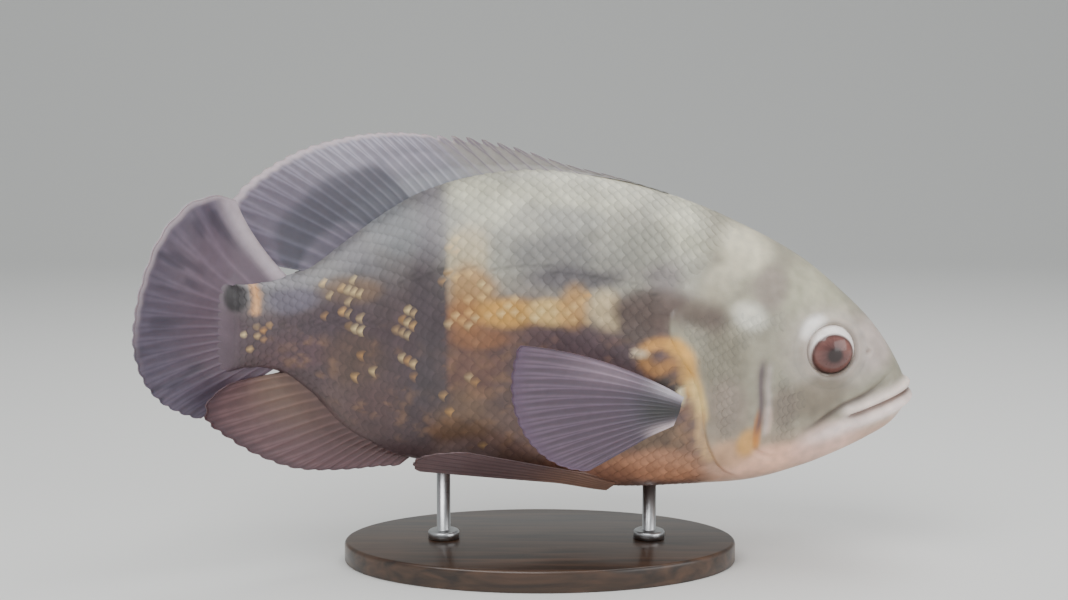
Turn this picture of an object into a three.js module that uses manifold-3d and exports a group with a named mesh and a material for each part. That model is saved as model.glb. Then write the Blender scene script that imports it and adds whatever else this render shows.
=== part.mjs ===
// A grown oscar, a deep-bodied cichlid, held still in a slow turn on a low display stand.
// Millimetres, +Z up, +X towards the snout and +Y to the fish's left.
// The origin is the centre of the stand's underside.
import * as THREE from 'three';
import { mergeVertices } from 'three/addons/utils/BufferGeometryUtils.js';
import Module from 'manifold-3d';

const wasm = await Module();
wasm.setup();

// Driving sizes of the body
const snoutX = 140;
const bodyLength = 252;
const bendStart = 180;
const bendEnd = 255;
const bendAngle = THREE.MathUtils.degToRad(35);
const tailSweep = THREE.MathUtils.degToRad(36);
const tailReach = 55;
const gap = 0.3;
const stationCount = 54;
const roundCount = 40;

// Body stations: distance behind the snout, back, belly and widest level above the floor,
// half width, then how the section bows above and below its widest level (1 is an ellipse).
const bodyStations = [
  [0, 67.3, 67.3, 67.3, 0, 1, 1],
  [1.5, 70.9, 60.6, 66, 6.2, 1, 1],
  [4.2, 76.8, 56.4, 66, 10, 0.98, 0.95],
  [8, 83.6, 52.6, 66.5, 13, 0.95, 0.9],
  [16, 94.4, 47.8, 68, 16.5, 0.95, 0.88],
  [26, 104.2, 42.8, 72, 19.2, 0.98, 0.85],
  [41, 116.6, 36.8, 76, 22.2, 1.02, 0.82],
  [61, 127.9, 31.5, 78, 25, 1.08, 0.8],
  [86, 138.6, 29.8, 80, 26.5, 1.15, 0.8],
  [111, 145.9, 29, 82, 26, 1.2, 0.82],
  [141, 149.9, 31.6, 84, 24, 1.22, 0.88],
  [166, 147.6, 35.1, 86, 20.5, 1.22, 0.95],
  [186, 141.4, 38.6, 88, 17, 1.2, 1.05],
  [200, 133.4, 43, 89, 14.5, 1.15, 1.12],
  [215, 122.8, 52, 90, 11.5, 1.1, 1.12],
  [228, 113.7, 66, 91, 8.8, 1.05, 1.05],
  [240, 109.6, 75, 91, 6.6, 1, 1],
  [252, 108.6, 77, 92, 4.4, 0.9, 0.9],
];

// Head
const eye = { x: 106.6, z: 83.6, radius: 9.3, depth: 6.6, bulge: 3.2, rimRadius: 10.6 };
const mouth = { frontX: 140.5, frontZ: 67.9, cornerX: 114.5, cornerZ: 58.4 };
const lips = { upperRise: 1.5, upperAt: 2.2, lowerRise: 1.9, lowerAt: -3, crease: 1, creaseAt: 5.2 };
const nostril = { x: 121.6, z: 82.6, radius: 1, rim: 1.9 };
const gillCoverRise = 0.9;
const gillCoverDepth = 3.6;

// Display stand
const base = { length: 150, width: 92, height: 8, bevel: 1.2 };
const rod = { radius: 2.6, collarRadius: 6, collarHeight: 3 };
const rodPlaces = { front: 42, rear: -37 };

const clamp01 = (value) => Math.min(1, Math.max(0, value));
const smooth = (edge0, edge1, value) => {
  const t = clamp01((value - edge0) / (edge1 - edge0));
  return t * t * (3 - 2 * t);
};
const bump = (value, centre, width) => Math.exp(-(((value - centre) / width) ** 2));
const mix = (a, b, t) => a + (b - a) * t;

// A smooth curve through rows [key, values...], by cubic spans whose slopes come from the neighbours.
function rowsAt(rows, key) {
  let i = 0;
  while (i < rows.length - 2 && key > rows[i + 1][0]) i += 1;
  const before = rows[Math.max(i - 1, 0)];
  const a = rows[i];
  const b = rows[i + 1];
  const after = rows[Math.min(i + 2, rows.length - 1)];
  const span = b[0] - a[0];
  const t = clamp01((key - a[0]) / span);
  return a.slice(1).map((_, n) => {
    const c = n + 1;
    const slopeA = ((b[c] - before[c]) / (b[0] - before[0])) * span;
    const slopeB = ((after[c] - a[c]) / (after[0] - a[0])) * span;
    const t2 = t * t;
    const t3 = t2 * t;
    return (2 * t3 - 3 * t2 + 1) * a[c] + (t3 - 2 * t2 + t) * slopeA
      + (3 * t2 - 2 * t3) * b[c] + (t3 - t2) * slopeB;
  });
}

// The stations are read by the root of the distance, so that the snout comes out round.
const stationsByRoot = bodyStations.map(([s, ...rest]) => [Math.sqrt(s), ...rest]);
const station = (s) => rowsAt(stationsByRoot, Math.sqrt(Math.max(s, 0)));

// The fish's own centre line: straight, then an arc towards its right side, with the tail fin bent on.
const bendRate = bendAngle / (bendEnd - bendStart);
const sweepRate = tailSweep / tailReach;
function spine(s) {
  const turned = THREE.MathUtils.clamp((s - bendStart) * bendRate, 0, bendAngle);
  const onward = bendAngle + Math.max(0, s - bendEnd) * sweepRate;
  return {
    x: snoutX - Math.min(s, bendStart) - Math.sin(turned) / bendRate
      - (Math.sin(onward) - Math.sin(bendAngle)) / sweepRate,
    y: (Math.cos(turned) - 1) / bendRate + (Math.cos(onward) - Math.cos(bendAngle)) / sweepRate,
    turned: s < bendEnd ? turned : onward,
  };
}
function placed(s, side, z) {
  const at = spine(s);
  return new THREE.Vector3(at.x - side * Math.sin(at.turned), at.y + side * Math.cos(at.turned), z);
}

// The unbent body surface: angle 0 is the back's midline, half a turn is the belly's.
function bodySurface(s, angle) {
  const [back, belly, widest, halfWidth, bowTop, bowBottom] = station(s);
  const up = Math.cos(angle);
  const reach = Math.sin(angle);
  const bow = up > 0 ? mix(1, bowTop, up) : mix(1, bowBottom, -up);
  const side = Math.sign(reach) * halfWidth * Math.abs(reach) ** bow;
  const z = widest + up * (up > 0 ? back - widest : widest - belly);
  return new THREE.Vector3(-s, side, z);
}

// How far the skin stands out at a place in the side view: lips round the mouth, and the rim of the eye.
function relief(s, z) {
  const x = snoutX - s;
  const alongX = mouth.cornerX - mouth.frontX;
  const alongZ = mouth.cornerZ - mouth.frontZ;
  const length = Math.hypot(alongX, alongZ);
  const along = ((x - mouth.frontX) * alongX + (z - mouth.frontZ) * alongZ) / length ** 2;
  const above = ((x - mouth.frontX) * alongZ - (z - mouth.frontZ) * alongX) / length;
  const inMouth = 1 - smooth(0.86, 1.12, along);
  const lipRise = lips.upperRise * bump(above, lips.upperAt, 1.7)
    + lips.lowerRise * bump(above, lips.lowerAt, 2.3)
    - lips.crease * bump(above, lips.creaseAt, 1.4) * smooth(-0.1, 0.3, along);
  const fromEye = Math.hypot(x - eye.x, z - eye.z);
  const fromNostril = Math.hypot(x - nostril.x, z - nostril.z);
  return lipRise * inMouth + 1.1 * bump(fromEye, eye.rimRadius, 2.2)
    + 0.4 * bump(fromNostril, nostril.rim, 0.9);
}

// The body surface pushed out along its own normal by the relief and a given offset.
function skinPoint(s, angle, offset, withRelief) {
  const point = bodySurface(s, angle);
  const small = 0.01;
  const alongBody = bodySurface(s + small, angle).sub(bodySurface(Math.max(s - small, 0), angle));
  const round = bodySurface(s, angle + small).sub(bodySurface(s, angle - small));
  const normal = s < small ? new THREE.Vector3(1, 0, 0) : round.cross(alongBody).normalize();
  const rise = offset + (withRelief ? relief(s, point.z) : 0);
  point.addScaledVector(normal, rise);
  return placed(-point.x, point.y, point.z);
}

// Solids are joined and cut as closed meshes of positions only.
function solidFrom(geometry) {
  const bare = new THREE.BufferGeometry();
  bare.setAttribute('position', geometry.getAttribute('position'));
  if (geometry.index) bare.setIndex(geometry.index);
  const merged = mergeVertices(bare, 1e-4);
  return new wasm.Manifold(new wasm.Mesh({
    numProp: 3,
    vertProperties: new Float32Array(merged.attributes.position.array),
    triVerts: new Uint32Array(merged.index.array),
  }));
}
function geometryFrom(solid) {
  const pieces = solid.decompose();
  const largest = pieces.reduce((a, b) => (b.volume() > a.volume() ? b : a));
  const mesh = largest.getMesh();
  const geometry = new THREE.BufferGeometry();
  geometry.setAttribute('position', new THREE.BufferAttribute(mesh.vertProperties, 3));
  geometry.setIndex(new THREE.BufferAttribute(mesh.triVerts, 1));
  geometry.computeVertexNormals();
  return geometry;
}
function meshFromLists(points, faces) {
  const geometry = new THREE.BufferGeometry();
  const places = points.flatMap((point) => point.toArray());
  geometry.setAttribute('position', new THREE.Float32BufferAttribute(places, 3));
  geometry.setIndex(faces);
  return solidFrom(geometry);
}

// The whole body as one closed loft of rings, from the snout's pole to a flat end at the tail fin's root.
function bodyLoft(offset, withRelief) {
  const points = [skinPoint(0, 0, offset, withRelief)];
  const faces = [];
  for (let i = 1; i <= stationCount; i += 1) {
    const last = i === stationCount;
    const s = bodyLength * (i / stationCount) ** 1.6;
    for (let j = 0; j < roundCount; j += 1) {
      const point = skinPoint(s, (j / roundCount) * 2 * Math.PI, offset, withRelief);
      if (last) point.addScaledVector(placed(s + 1, 0, 0).sub(placed(s, 0, 0)), offset);
      points.push(point);
    }
  }
  const ring = (i, j) => 1 + (i - 1) * roundCount + (j % roundCount);
  for (let j = 0; j < roundCount; j += 1) {
    faces.push(0, ring(1, j + 1), ring(1, j));
    for (let i = 1; i < stationCount; i += 1) {
      faces.push(ring(i, j), ring(i, j + 1), ring(i + 1, j));
      faces.push(ring(i + 1, j), ring(i, j + 1), ring(i + 1, j + 1));
    }
  }
  const end = points.length;
  const [back, belly] = station(bodyLength);
  points.push(placed(bodyLength + offset, 0, (back + belly) / 2));
  for (let j = 0; j < roundCount; j += 1) {
    faces.push(end, ring(stationCount, j), ring(stationCount, j + 1));
  }
  return meshFromLists(points, faces);
}

// A slab in the side view, cut across from one side to the other: an outline in x and z, from y to y.
function sideSlab(outline, fromY, toY) {
  const shape = new THREE.Shape(outline.map(([x, z]) => new THREE.Vector2(x, z)));
  const slab = new THREE.ExtrudeGeometry(shape, { depth: toY - fromY, bevelEnabled: false });
  slab.rotateX(Math.PI / 2);
  slab.translate(0, toY, 0);
  return solidFrom(slab);
}
// A thin ribbon in the side view that follows a smooth line, for parting the body.
function partingRibbon(line, thickness) {
  const curve = new THREE.SplineCurve(line.map(([x, z]) => new THREE.Vector2(x, z)));
  const steps = 24;
  const near = [];
  const far = [];
  for (let i = 0; i <= steps; i += 1) {
    const point = curve.getPoint(i / steps);
    const tangent = curve.getTangent(i / steps);
    near.push([point.x - tangent.y * thickness * 0.5, point.y + tangent.x * thickness * 0.5]);
    far.unshift([point.x + tangent.y * thickness * 0.5, point.y - tangent.x * thickness * 0.5]);
  }
  return sideSlab([...near, ...far], -60, 60);
}

// The outlines below lie in the side view, as x and z in millimetres.
const gillCoverOutline = new THREE.SplineCurve([
  [82, 80], [82.4, 62], [79.5, 47], [70, 41.5], [64.6, 44.6], [61.3, 55], [59.6, 66.2],
  [55.1, 78], [48.8, 87], [47.5, 93.5], [54, 98], [66, 97], [77, 90], [82, 80],
].map(([x, z]) => new THREE.Vector2(x, z))).getPoints(34).slice(0, -1).map((p) => [p.x, p.y]);
const headLine = [
  [63, 150], [60, 134], [52, 116], [45.8, 102], [45.3, 93], [47.3, 86.3], [53.6, 77],
  [58, 65.8], [59.7, 54.6], [63, 43.6], [68.5, 33], [72, 20],
];
const jawLine = [
  [150, 71.4], [mouth.frontX, mouth.frontZ], [128, 63], [mouth.cornerX, mouth.cornerZ],
  [106, 54.4], [98.5, 49.5], [95, 40], [93, 25],
];

function dilated(outline, by) {
  const centreX = outline.reduce((sum, p) => sum + p[0], 0) / outline.length;
  const centreZ = outline.reduce((sum, p) => sum + p[1], 0) / outline.length;
  return outline.map(([x, z]) => {
    const away = new THREE.Vector2(x - centreX, z - centreZ);
    away.setLength(away.length() + by);
    return [centreX + away.x, centreZ + away.y];
  });
}

// Whole body, its inner and outer twins, and the cuts that part it
const body = bodyLoft(0, true);
const bodyGrown = bodyLoft(gap, true);
const tailCut = new THREE.BoxGeometry(gap, 60, 140);
const tailCutAt = 216;
tailCut.rotateZ(spine(tailCutAt).turned);
tailCut.translate(...placed(tailCutAt, 0, 90).toArray());

const eyeShape = (grow) => {
  const steps = 9;
  const profile = [];
  for (let i = 0; i <= steps; i += 1) {
    const t = (i / steps) * Math.PI;
    profile.push(new THREE.Vector2((eye.radius + grow) * Math.sin(t), -(eye.depth + grow) * Math.cos(t)));
  }
  return new THREE.LatheGeometry(profile, 24);
};
// How far out the skin lies at a place in the side view
function skinHalfWidth(x, z) {
  const s = snoutX - x;
  const [back, belly, widest, halfWidth, bowTop, bowBottom] = station(s);
  const up = z > widest ? (z - widest) / (back - widest) : (z - widest) / (widest - belly);
  const bow = up > 0 ? mix(1, bowTop, up) : mix(1, bowBottom, -up);
  return halfWidth * Math.sqrt(Math.max(0, 1 - up * up)) ** bow;
}
const eyeY = skinHalfWidth(eye.x, eye.z) + eye.bulge - eye.depth;
const eyeAt = (side, grow) => {
  const geometry = eyeShape(grow);
  geometry.rotateZ(side > 0 ? -0.16 : 0.16);
  geometry.translate(eye.x, side * eyeY, eye.z);
  return solidFrom(geometry);
};
const nostrilPit = (side) => {
  const pit = new THREE.CylinderGeometry(nostril.radius, nostril.radius * 0.6, 6, 10);
  pit.translate(nostril.x, side * (skinHalfWidth(nostril.x, nostril.z) + 1), nostril.z);
  return solidFrom(pit);
};

const coverInner = bodyLoft(-gillCoverDepth, false);
const coverPocketFloor = bodyLoft(-gillCoverDepth - gap, false);
const coverOuter = bodyLoft(gillCoverRise, false);
const coverSide = (outline, side) => sideSlab(outline, side > 0 ? 3 : -45, side > 0 ? 45 : -3);
const gillCover = (side) => coverOuter
  .intersect(coverSide(gillCoverOutline, side))
  .subtract(coverInner);
const coverPocket = (side) => coverSide(dilated(gillCoverOutline, gap * 1.4), side)
  .subtract(coverPocketFloor);

const frontOutline = [
  [200, -20], [200, 200], [headLine[0][0], 200],
  ...new THREE.SplineCurve(headLine.map(([x, z]) => new THREE.Vector2(x, z)))
    .getPoints(24).map((p) => [p.x, p.y]),
  [72, -20],
];
const jawOutline = [
  ...new THREE.SplineCurve(jawLine.map(([x, z]) => new THREE.Vector2(x, z)))
    .getPoints(24).map((p) => [p.x, p.y]),
  [93, -20], [170, -20], [170, 71.4],
];
const frontRegion = sideSlab(frontOutline, -60, 60);
const jawRegion = sideSlab(jawOutline, -60, 60);
const headCut = partingRibbon(headLine, gap);
const jawCut = partingRibbon(jawLine, gap * 1.6);

const front = body.intersect(frontRegion).subtract(headCut);
const headSolid = [1, -1].reduce(
  (solid, side) => solid.subtract(eyeAt(side, gap)).subtract(nostrilPit(side)).subtract(coverPocket(side)),
  front.subtract(jawRegion).subtract(jawCut),
);
const jawSolid = front.intersect(jawRegion).subtract(jawCut);
const rest = body.subtract(frontRegion).subtract(headCut).subtract(solidFrom(tailCut));
const [stemSolid, trunkSolid] = rest.decompose()
  .sort((a, b) => a.volume() - b.volume())
  .slice(-2);

// A fin as a grid of centre points with a half thickness along one sideways direction at each.
// Both faces split each square the same way. Columns alternate between a ray and the web beside it.
function finSolid(columns, rows, centre, halfThickness) {
  const points = [];
  const faces = [];
  for (let i = 0; i <= columns; i += 1) {
    for (let j = 0; j <= rows; j += 1) {
      const at = centre(i / columns, j / rows, i);
      const alongU = centre(Math.min(1, (i + 0.5) / columns), j / rows, i)
        .sub(centre(Math.max(0, (i - 0.5) / columns), j / rows, i));
      const alongV = centre(i / columns, Math.min(1, (j + 0.5) / rows), i)
        .sub(centre(i / columns, Math.max(0, (j - 0.5) / rows), i));
      const normal = alongU.cross(alongV).normalize();
      const half = halfThickness(i / columns, j / rows, i);
      points.push(at.clone().addScaledVector(normal, half), at.clone().addScaledVector(normal, -half));
    }
  }
  const id = (i, j, face) => 2 * (i * (rows + 1) + j) + face;
  const quad = (a, b, c, d) => faces.push(a, b, c, a, c, d);
  for (let i = 0; i < columns; i += 1) {
    for (let j = 0; j < rows; j += 1) {
      faces.push(id(i, j, 0), id(i + 1, j, 0), id(i + 1, j + 1, 0));
      faces.push(id(i, j, 0), id(i + 1, j + 1, 0), id(i, j + 1, 0));
      faces.push(id(i, j, 1), id(i + 1, j + 1, 1), id(i + 1, j, 1));
      faces.push(id(i, j, 1), id(i, j + 1, 1), id(i + 1, j + 1, 1));
    }
    quad(id(i, 0, 0), id(i, 0, 1), id(i + 1, 0, 1), id(i + 1, 0, 0));
    quad(id(i, rows, 0), id(i + 1, rows, 0), id(i + 1, rows, 1), id(i, rows, 1));
  }
  for (let j = 0; j < rows; j += 1) {
    quad(id(0, j, 0), id(0, j + 1, 0), id(0, j + 1, 1), id(0, j, 1));
    quad(id(columns, j, 0), id(columns, j, 1), id(columns, j + 1, 1), id(columns, j + 1, 0));
  }
  const made = meshFromLists(points, faces);
  if (made.volume() > 0) return made;
  for (let n = 0; n < faces.length; n += 3) [faces[n], faces[n + 1]] = [faces[n + 1], faces[n]];
  return meshFromLists(points, faces);
}

// Thick at the root, thin at the edge, with a ridge on every other column for the ray
const rayThickness = (root, web, ray, edge) => (u, v, column) => {
  const body = mix(web, edge, v) + (root - web) * (1 - smooth(0, 0.3, v));
  return body + (column % 2 ? ray * (1 - 0.75 * v) * smooth(0, 0.2, v) : 0);
};

// A fin that grows along the back or the belly. Rows give, at each share of its length:
// the root's distance behind the snout, the edge's x and z, the swing of the ray out of the fin's plane
// in degrees, and the bow of the ray. The root is sunk into the body, which cuts it later.
function medianFin(rows, rays, steps, upper, thickness, notch) {
  const columns = 2 * rays;
  const centre = (u, v, column) => {
    const [rootS, edgeX, edgeZ, swing, bow] = rowsAt(rows, u);
    const [back, belly] = station(rootS);
    const at = spine(rootS);
    const root = new THREE.Vector3(at.x, at.y, upper ? back : belly);
    const dx = edgeX - root.x;
    const dz = edgeZ - root.z;
    const length = Math.hypot(dx, dz);
    const sunk = -2.5 / length;
    const tip = column % 2 ? 1 : 1 - notch / length;
    const t = mix(sunk, tip, v);
    const turned = at.turned + THREE.MathUtils.degToRad(swing) * clamp01(t);
    const x = root.x + dx * t;
    const bowed = bow * length * clamp01(t) * (1 - clamp01(t));
    const z = root.z + dz * t + (upper ? bowed : -bowed);
    return new THREE.Vector3(x, root.y + (x - root.x) * Math.tan(turned), z);
  };
  return finSolid(columns, steps, centre, thickness).subtract(bodyGrown);
}

const dorsalSpinyRows = [
  [0, 94, 37.6, 143.9, 0, 0],
  [0.15, 106, 26.3, 147.2, 0, 0],
  [0.35, 122, 9.4, 151.4, 0, 0.02],
  [0.55, 137, -7.9, 157.2, 0, 0.03],
  [0.75, 151, -23.6, 160.9, 0, 0.03],
  [1, 164.5, -40.6, 162.3, 0, 0.04],
];
const dorsalSoftRows = [
  [0, 167.5, -43.6, 163.2, 0, 0.04],
  [0.15, 176, -54.3, 163.3, 0, 0.05],
  [0.35, 188, -70.2, 162, 0, 0.07],
  [0.55, 199, -87.4, 157.4, -3, 0.09],
  [0.73, 209, -102.4, 149.3, -8, 0.09],
  [0.85, 215.5, -112.2, 140.8, -11, 0.07],
  [0.91, 220.5, -114.4, 133.8, -14, 0.04],
  [0.96, 226, -109.5, 124.3, -16, 0.02],
  [1, 231, -100.6, 114.6, -16, 0],
];
const analRows = [
  [0, 190, -54.3, 36.3, 0, 0],
  [0.1, 194, -61.1, 36.3, 0, 0.02],
  [0.28, 202, -76, 35.7, 2, 0.05],
  [0.46, 210, -91.9, 37.8, 7, 0.08],
  [0.62, 217, -105, 45.1, 12, 0.09],
  [0.76, 223.5, -114.7, 54.7, 17, 0.07],
  [0.86, 229, -119.2, 61.6, 20, 0.05],
  [0.93, 234, -117.9, 68.2, 22, 0.02],
  [1, 239, -112.5, 73, 24, 0],
];
const dorsalSpiny = medianFin(dorsalSpinyRows, 13, 3, true, rayThickness(1.4, 0.42, 0.45, 0.3), 3);
const dorsalSoft = medianFin(dorsalSoftRows, 20, 6, true, rayThickness(2.2, 0.4, 0.4, 0.26), 0.7);
const anal = medianFin(analRows, 18, 6, false, rayThickness(2.2, 0.4, 0.4, 0.26), 0.7);

// The tail fin as a fan of rays, from the lowest to the highest. Each row gives a ray's root and tip,
// as the distance behind the body's end and the height above its middle level, then the ray's bow.
const tailFin = { middle: 91.5, twist: 0.15, sunk: 3, rays: 17, steps: 7 };
const caudalRows = [
  [0, -11, -15.2, 17, -32, 0],
  [0.1, -6, -13, 24, -29, 0],
  [0.22, -2.5, -9.6, 33, -23.5, 0],
  [0.35, 0, -5.8, 42, -14, 0],
  [0.48, 0, -2, 48, -2, 0],
  [0.6, 0, 2.2, 48.8, 9, 0],
  [0.72, 0, 6.5, 46.3, 22, 0],
  [0.83, -1, 10.5, 39, 36.5, 0],
  [0.92, -5.5, 14.4, 25.5, 47.3, 0.3],
  [0.97, -12, 16.6, 12.5, 49.3, 1],
  [1, -18, 17.2, 3, 47.8, 2.2],
];
function caudalPoint(u, v, column) {
  const [rootBehind, rootAbove, tipBehind, tipAbove, bow] = rowsAt(caudalRows, u);
  const length = Math.hypot(tipBehind - rootBehind, tipAbove - rootAbove);
  const t = mix(-tailFin.sunk / length, column % 2 ? 1 : 1 - 0.8 / length, v);
  const behind = mix(rootBehind, tipBehind, t) + 4 * bow * clamp01(t) * (1 - clamp01(t));
  const above = mix(rootAbove, tipAbove, t);
  const aside = -tailFin.twist * above * smooth(0, 25, behind);
  return placed(bodyLength + behind, aside, tailFin.middle + above);
}
const caudalThickness = (u, v, column) => {
  const root = mix(3.2, 0.8, (2 * u - 1) ** 2);
  return rayThickness(root, 0.42, 0.4, 0.28)(u, v, column);
};
const caudal = finSolid(2 * tailFin.rays, tailFin.steps, caudalPoint, caudalThickness)
  .subtract(bodyGrown);
// The fins next to the tail fin keep clear of it.
const caudalGrown = finSolid(
  2 * tailFin.rays,
  tailFin.steps,
  caudalPoint,
  (u, v, column) => caudalThickness(u, v, column) + gap,
);

// Paired fins: a fan whose rays leave a short root on the body.
// Angles run from the lowest ray to the highest, above the level; spread is out from the body.
// The upper rays arch upwards on their way.
function fanFin(fin, side) {
  const centre = (u, v, column) => {
    const angle = THREE.MathUtils.degToRad(mix(fin.lowest, fin.highest, u));
    const off = Math.abs(u - fin.longestAt) / Math.max(fin.longestAt, 1 - fin.longestAt);
    const length = fin.length * (1 - fin.fall * off ** 2) - (column % 2 ? 0 : 0.7);
    const out = THREE.MathUtils.degToRad(fin.spread);
    const along = mix(-fin.sunk, length, v);
    const level = along * Math.cos(angle);
    const rootShift = mix(-0.5, 0.5, u) * fin.rootHeight;
    const x = fin.x - level * Math.cos(out) + rootShift * fin.rootSlant;
    const arch = fin.arch * u * along * (1 - clamp01(along / length));
    const z = fin.z + along * Math.sin(angle) + rootShift + arch;
    const cupped = fin.cup * Math.max(0, along) ** 2;
    const y = fin.y + level * Math.sin(out) + fin.tilt * (z - fin.z) + cupped;
    return new THREE.Vector3(x, side * y, z);
  };
  return finSolid(2 * fin.rays, fin.steps, centre, rayThickness(fin.root, 0.36, 0.36, 0.26))
    .subtract(bodyGrown);
}
const pectoral = {
  x: 47.6, y: 25, z: 62.3, length: 71, fall: 0.49, longestAt: 0.9, lowest: -21, highest: 18,
  spread: 32, rootHeight: 13, rootSlant: 0.31, sunk: 3, tilt: 0.1, cup: -0.0013, arch: 0.2,
  rays: 14, steps: 6, root: 1.5,
};
const pelvic = {
  x: 23, y: 9, z: 32.2, length: 70, fall: 0.24, longestAt: 0.3, lowest: 7, highest: 14,
  spread: 4, rootHeight: 4.2, rootSlant: 0.9, sunk: 4, tilt: 1.1, cup: -0.0004, arch: 0,
  rays: 6, steps: 6, root: 1.8,
};

// Display stand: a low oval base with a rounded edge, and two steel rods with a collar each
function standBase() {
  const half = { x: base.length / 2 - base.bevel, y: base.width / 2 - base.bevel };
  const shape = new THREE.Shape();
  shape.absellipse(0, 0, half.x, half.y, 0, 2 * Math.PI);
  const geometry = new THREE.ExtrudeGeometry(shape, {
    depth: base.height - 2 * base.bevel,
    bevelThickness: base.bevel,
    bevelSize: base.bevel,
    bevelSegments: 2,
    curveSegments: 28,
  });
  geometry.translate(0, 0, base.bevel);
  return solidFrom(geometry);
}
function standRod(x) {
  const bottom = base.height + gap;
  const profile = [
    [0, bottom], [rod.collarRadius, bottom], [rod.collarRadius, bottom + rod.collarHeight - 1],
    [rod.collarRadius - 1, bottom + rod.collarHeight], [rod.radius, bottom + rod.collarHeight],
    [rod.radius, 60], [0, 60],
  ].map(([r, z]) => new THREE.Vector2(r, z));
  const geometry = new THREE.LatheGeometry(profile, 24);
  geometry.rotateX(Math.PI / 2);
  geometry.translate(x, 0, 0);
  const whole = solidFrom(geometry);
  return whole.subtract(bodyGrown).decompose().reduce((a, b) => {
    const lower = a.boundingBox().min[2] < b.boundingBox().min[2];
    return lower ? a : b;
  });
}

// Finishes
const finish = (color, roughness, metalness = 0) => (
  new THREE.MeshStandardMaterial({ color, roughness, metalness })
);
const headSkin = finish('#a5a08a', 0.55);
const lipSkin = finish('#c9b0a4', 0.5);
const coverSkin = finish('#96917f', 0.5);
const flankSkin = finish('#6d5f5c', 0.55);
const finWeb = finish('#5c5263', 0.5);
const eyeGloss = finish('#4a2a22', 0.15);
const wood = finish('#3a2a20', 0.45);
const steel = finish('#b9bcbf', 0.3, 1);

const fish = new THREE.Group();
function add(name, solid, material) {
  const mesh = new THREE.Mesh(geometryFrom(solid), material);
  mesh.name = name;
  fish.add(mesh);
}
add('head', headSolid, headSkin);
add('lower_jaw', jawSolid, lipSkin);
add('trunk', trunkSolid, flankSkin);
add('tail_stem', stemSolid, flankSkin);
[['left', 1], ['right', -1]].forEach(([label, side]) => {
  add(`gill_cover_${label}`, gillCover(side), coverSkin);
  add(`eye_${label}`, eyeAt(side, 0), eyeGloss);
  add(`pectoral_fin_${label}`, fanFin(pectoral, side), finWeb);
  add(`pelvic_fin_${label}`, fanFin(pelvic, side), finWeb);
});
add('dorsal_fin_spiny', dorsalSpiny, finWeb);
add('dorsal_fin_soft', dorsalSoft.subtract(caudalGrown), finWeb);
add('anal_fin', anal.subtract(caudalGrown), finWeb);
add('caudal_fin', caudal, finWeb);
add('stand_base', standBase(), wood);
add('stand_rod_front', standRod(rodPlaces.front), steel);
add('stand_rod_rear', standRod(rodPlaces.rear), steel);

export default fish;
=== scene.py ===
import math

import bpy
import numpy as np
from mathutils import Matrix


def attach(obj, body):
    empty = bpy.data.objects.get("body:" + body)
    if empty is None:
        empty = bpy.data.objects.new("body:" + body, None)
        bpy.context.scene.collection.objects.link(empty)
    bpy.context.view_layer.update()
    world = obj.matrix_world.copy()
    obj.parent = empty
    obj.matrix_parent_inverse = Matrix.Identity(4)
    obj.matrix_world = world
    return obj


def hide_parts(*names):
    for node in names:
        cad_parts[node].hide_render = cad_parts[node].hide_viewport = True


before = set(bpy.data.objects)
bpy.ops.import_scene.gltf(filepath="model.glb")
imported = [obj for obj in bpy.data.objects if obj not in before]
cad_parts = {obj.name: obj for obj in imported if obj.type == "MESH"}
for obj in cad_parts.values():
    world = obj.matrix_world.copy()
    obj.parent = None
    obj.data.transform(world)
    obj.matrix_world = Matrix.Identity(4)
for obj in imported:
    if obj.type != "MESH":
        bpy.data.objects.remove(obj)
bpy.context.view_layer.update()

mm = 0.001
print("frame loaded")

# The fish's driving sizes, the same as the solids', in millimetres and degrees
fish = {
    "snoutX": 140.0, "length": 252.0, "bendStart": 180.0, "bendEnd": 255.0, "bendAngle": 35.0,
    "tailSweep": 36.0, "tailReach": 55.0, "tailMiddle": 91.5, "tailTwist": 0.15, "skinDepth": 0.3,
    "skinEnd": 265.0, "rows": 340, "columns": 272, "headDensity": 1.2, "firstRing": 0.04,
}

# distance behind the snout, back, belly, widest level, half width, bow above and below
bodyStations = np.array([
    [0, 67.3, 67.3, 67.3, 0, 1, 1],
    [1.5, 70.9, 60.6, 66, 6.2, 1, 1],
    [4.2, 76.8, 56.4, 66, 10, 0.98, 0.95],
    [8, 83.6, 52.6, 66.5, 13, 0.95, 0.9],
    [16, 94.4, 47.8, 68, 16.5, 0.95, 0.88],
    [26, 104.2, 42.8, 72, 19.2, 0.98, 0.85],
    [41, 116.6, 36.8, 76, 22.2, 1.02, 0.82],
    [61, 127.9, 31.5, 78, 25, 1.08, 0.8],
    [86, 138.6, 29.8, 80, 26.5, 1.15, 0.8],
    [111, 145.9, 29, 82, 26, 1.2, 0.82],
    [141, 149.9, 31.6, 84, 24, 1.22, 0.88],
    [166, 147.6, 35.1, 86, 20.5, 1.22, 0.95],
    [186, 141.4, 38.6, 88, 17, 1.2, 1.05],
    [200, 133.4, 43, 89, 14.5, 1.15, 1.12],
    [215, 122.8, 52, 90, 11.5, 1.1, 1.12],
    [228, 113.7, 66, 91, 8.8, 1.05, 1.05],
    [240, 109.6, 75, 91, 6.6, 1, 1],
    [252, 108.6, 77, 92, 4.4, 0.9, 0.9],
    # past the body's end the skin thins out over the tail fin's root
    [257, 109, 76.2, 92, 2.9, 0.9, 0.9],
    [261, 109.8, 75.4, 92, 1.3, 0.9, 0.9],
    [265, 110.6, 74.6, 92, 0.1, 0.9, 0.9],
])
stationsByRoot = bodyStations.copy()
stationsByRoot[:, 0] = np.sqrt(bodyStations[:, 0])

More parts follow.
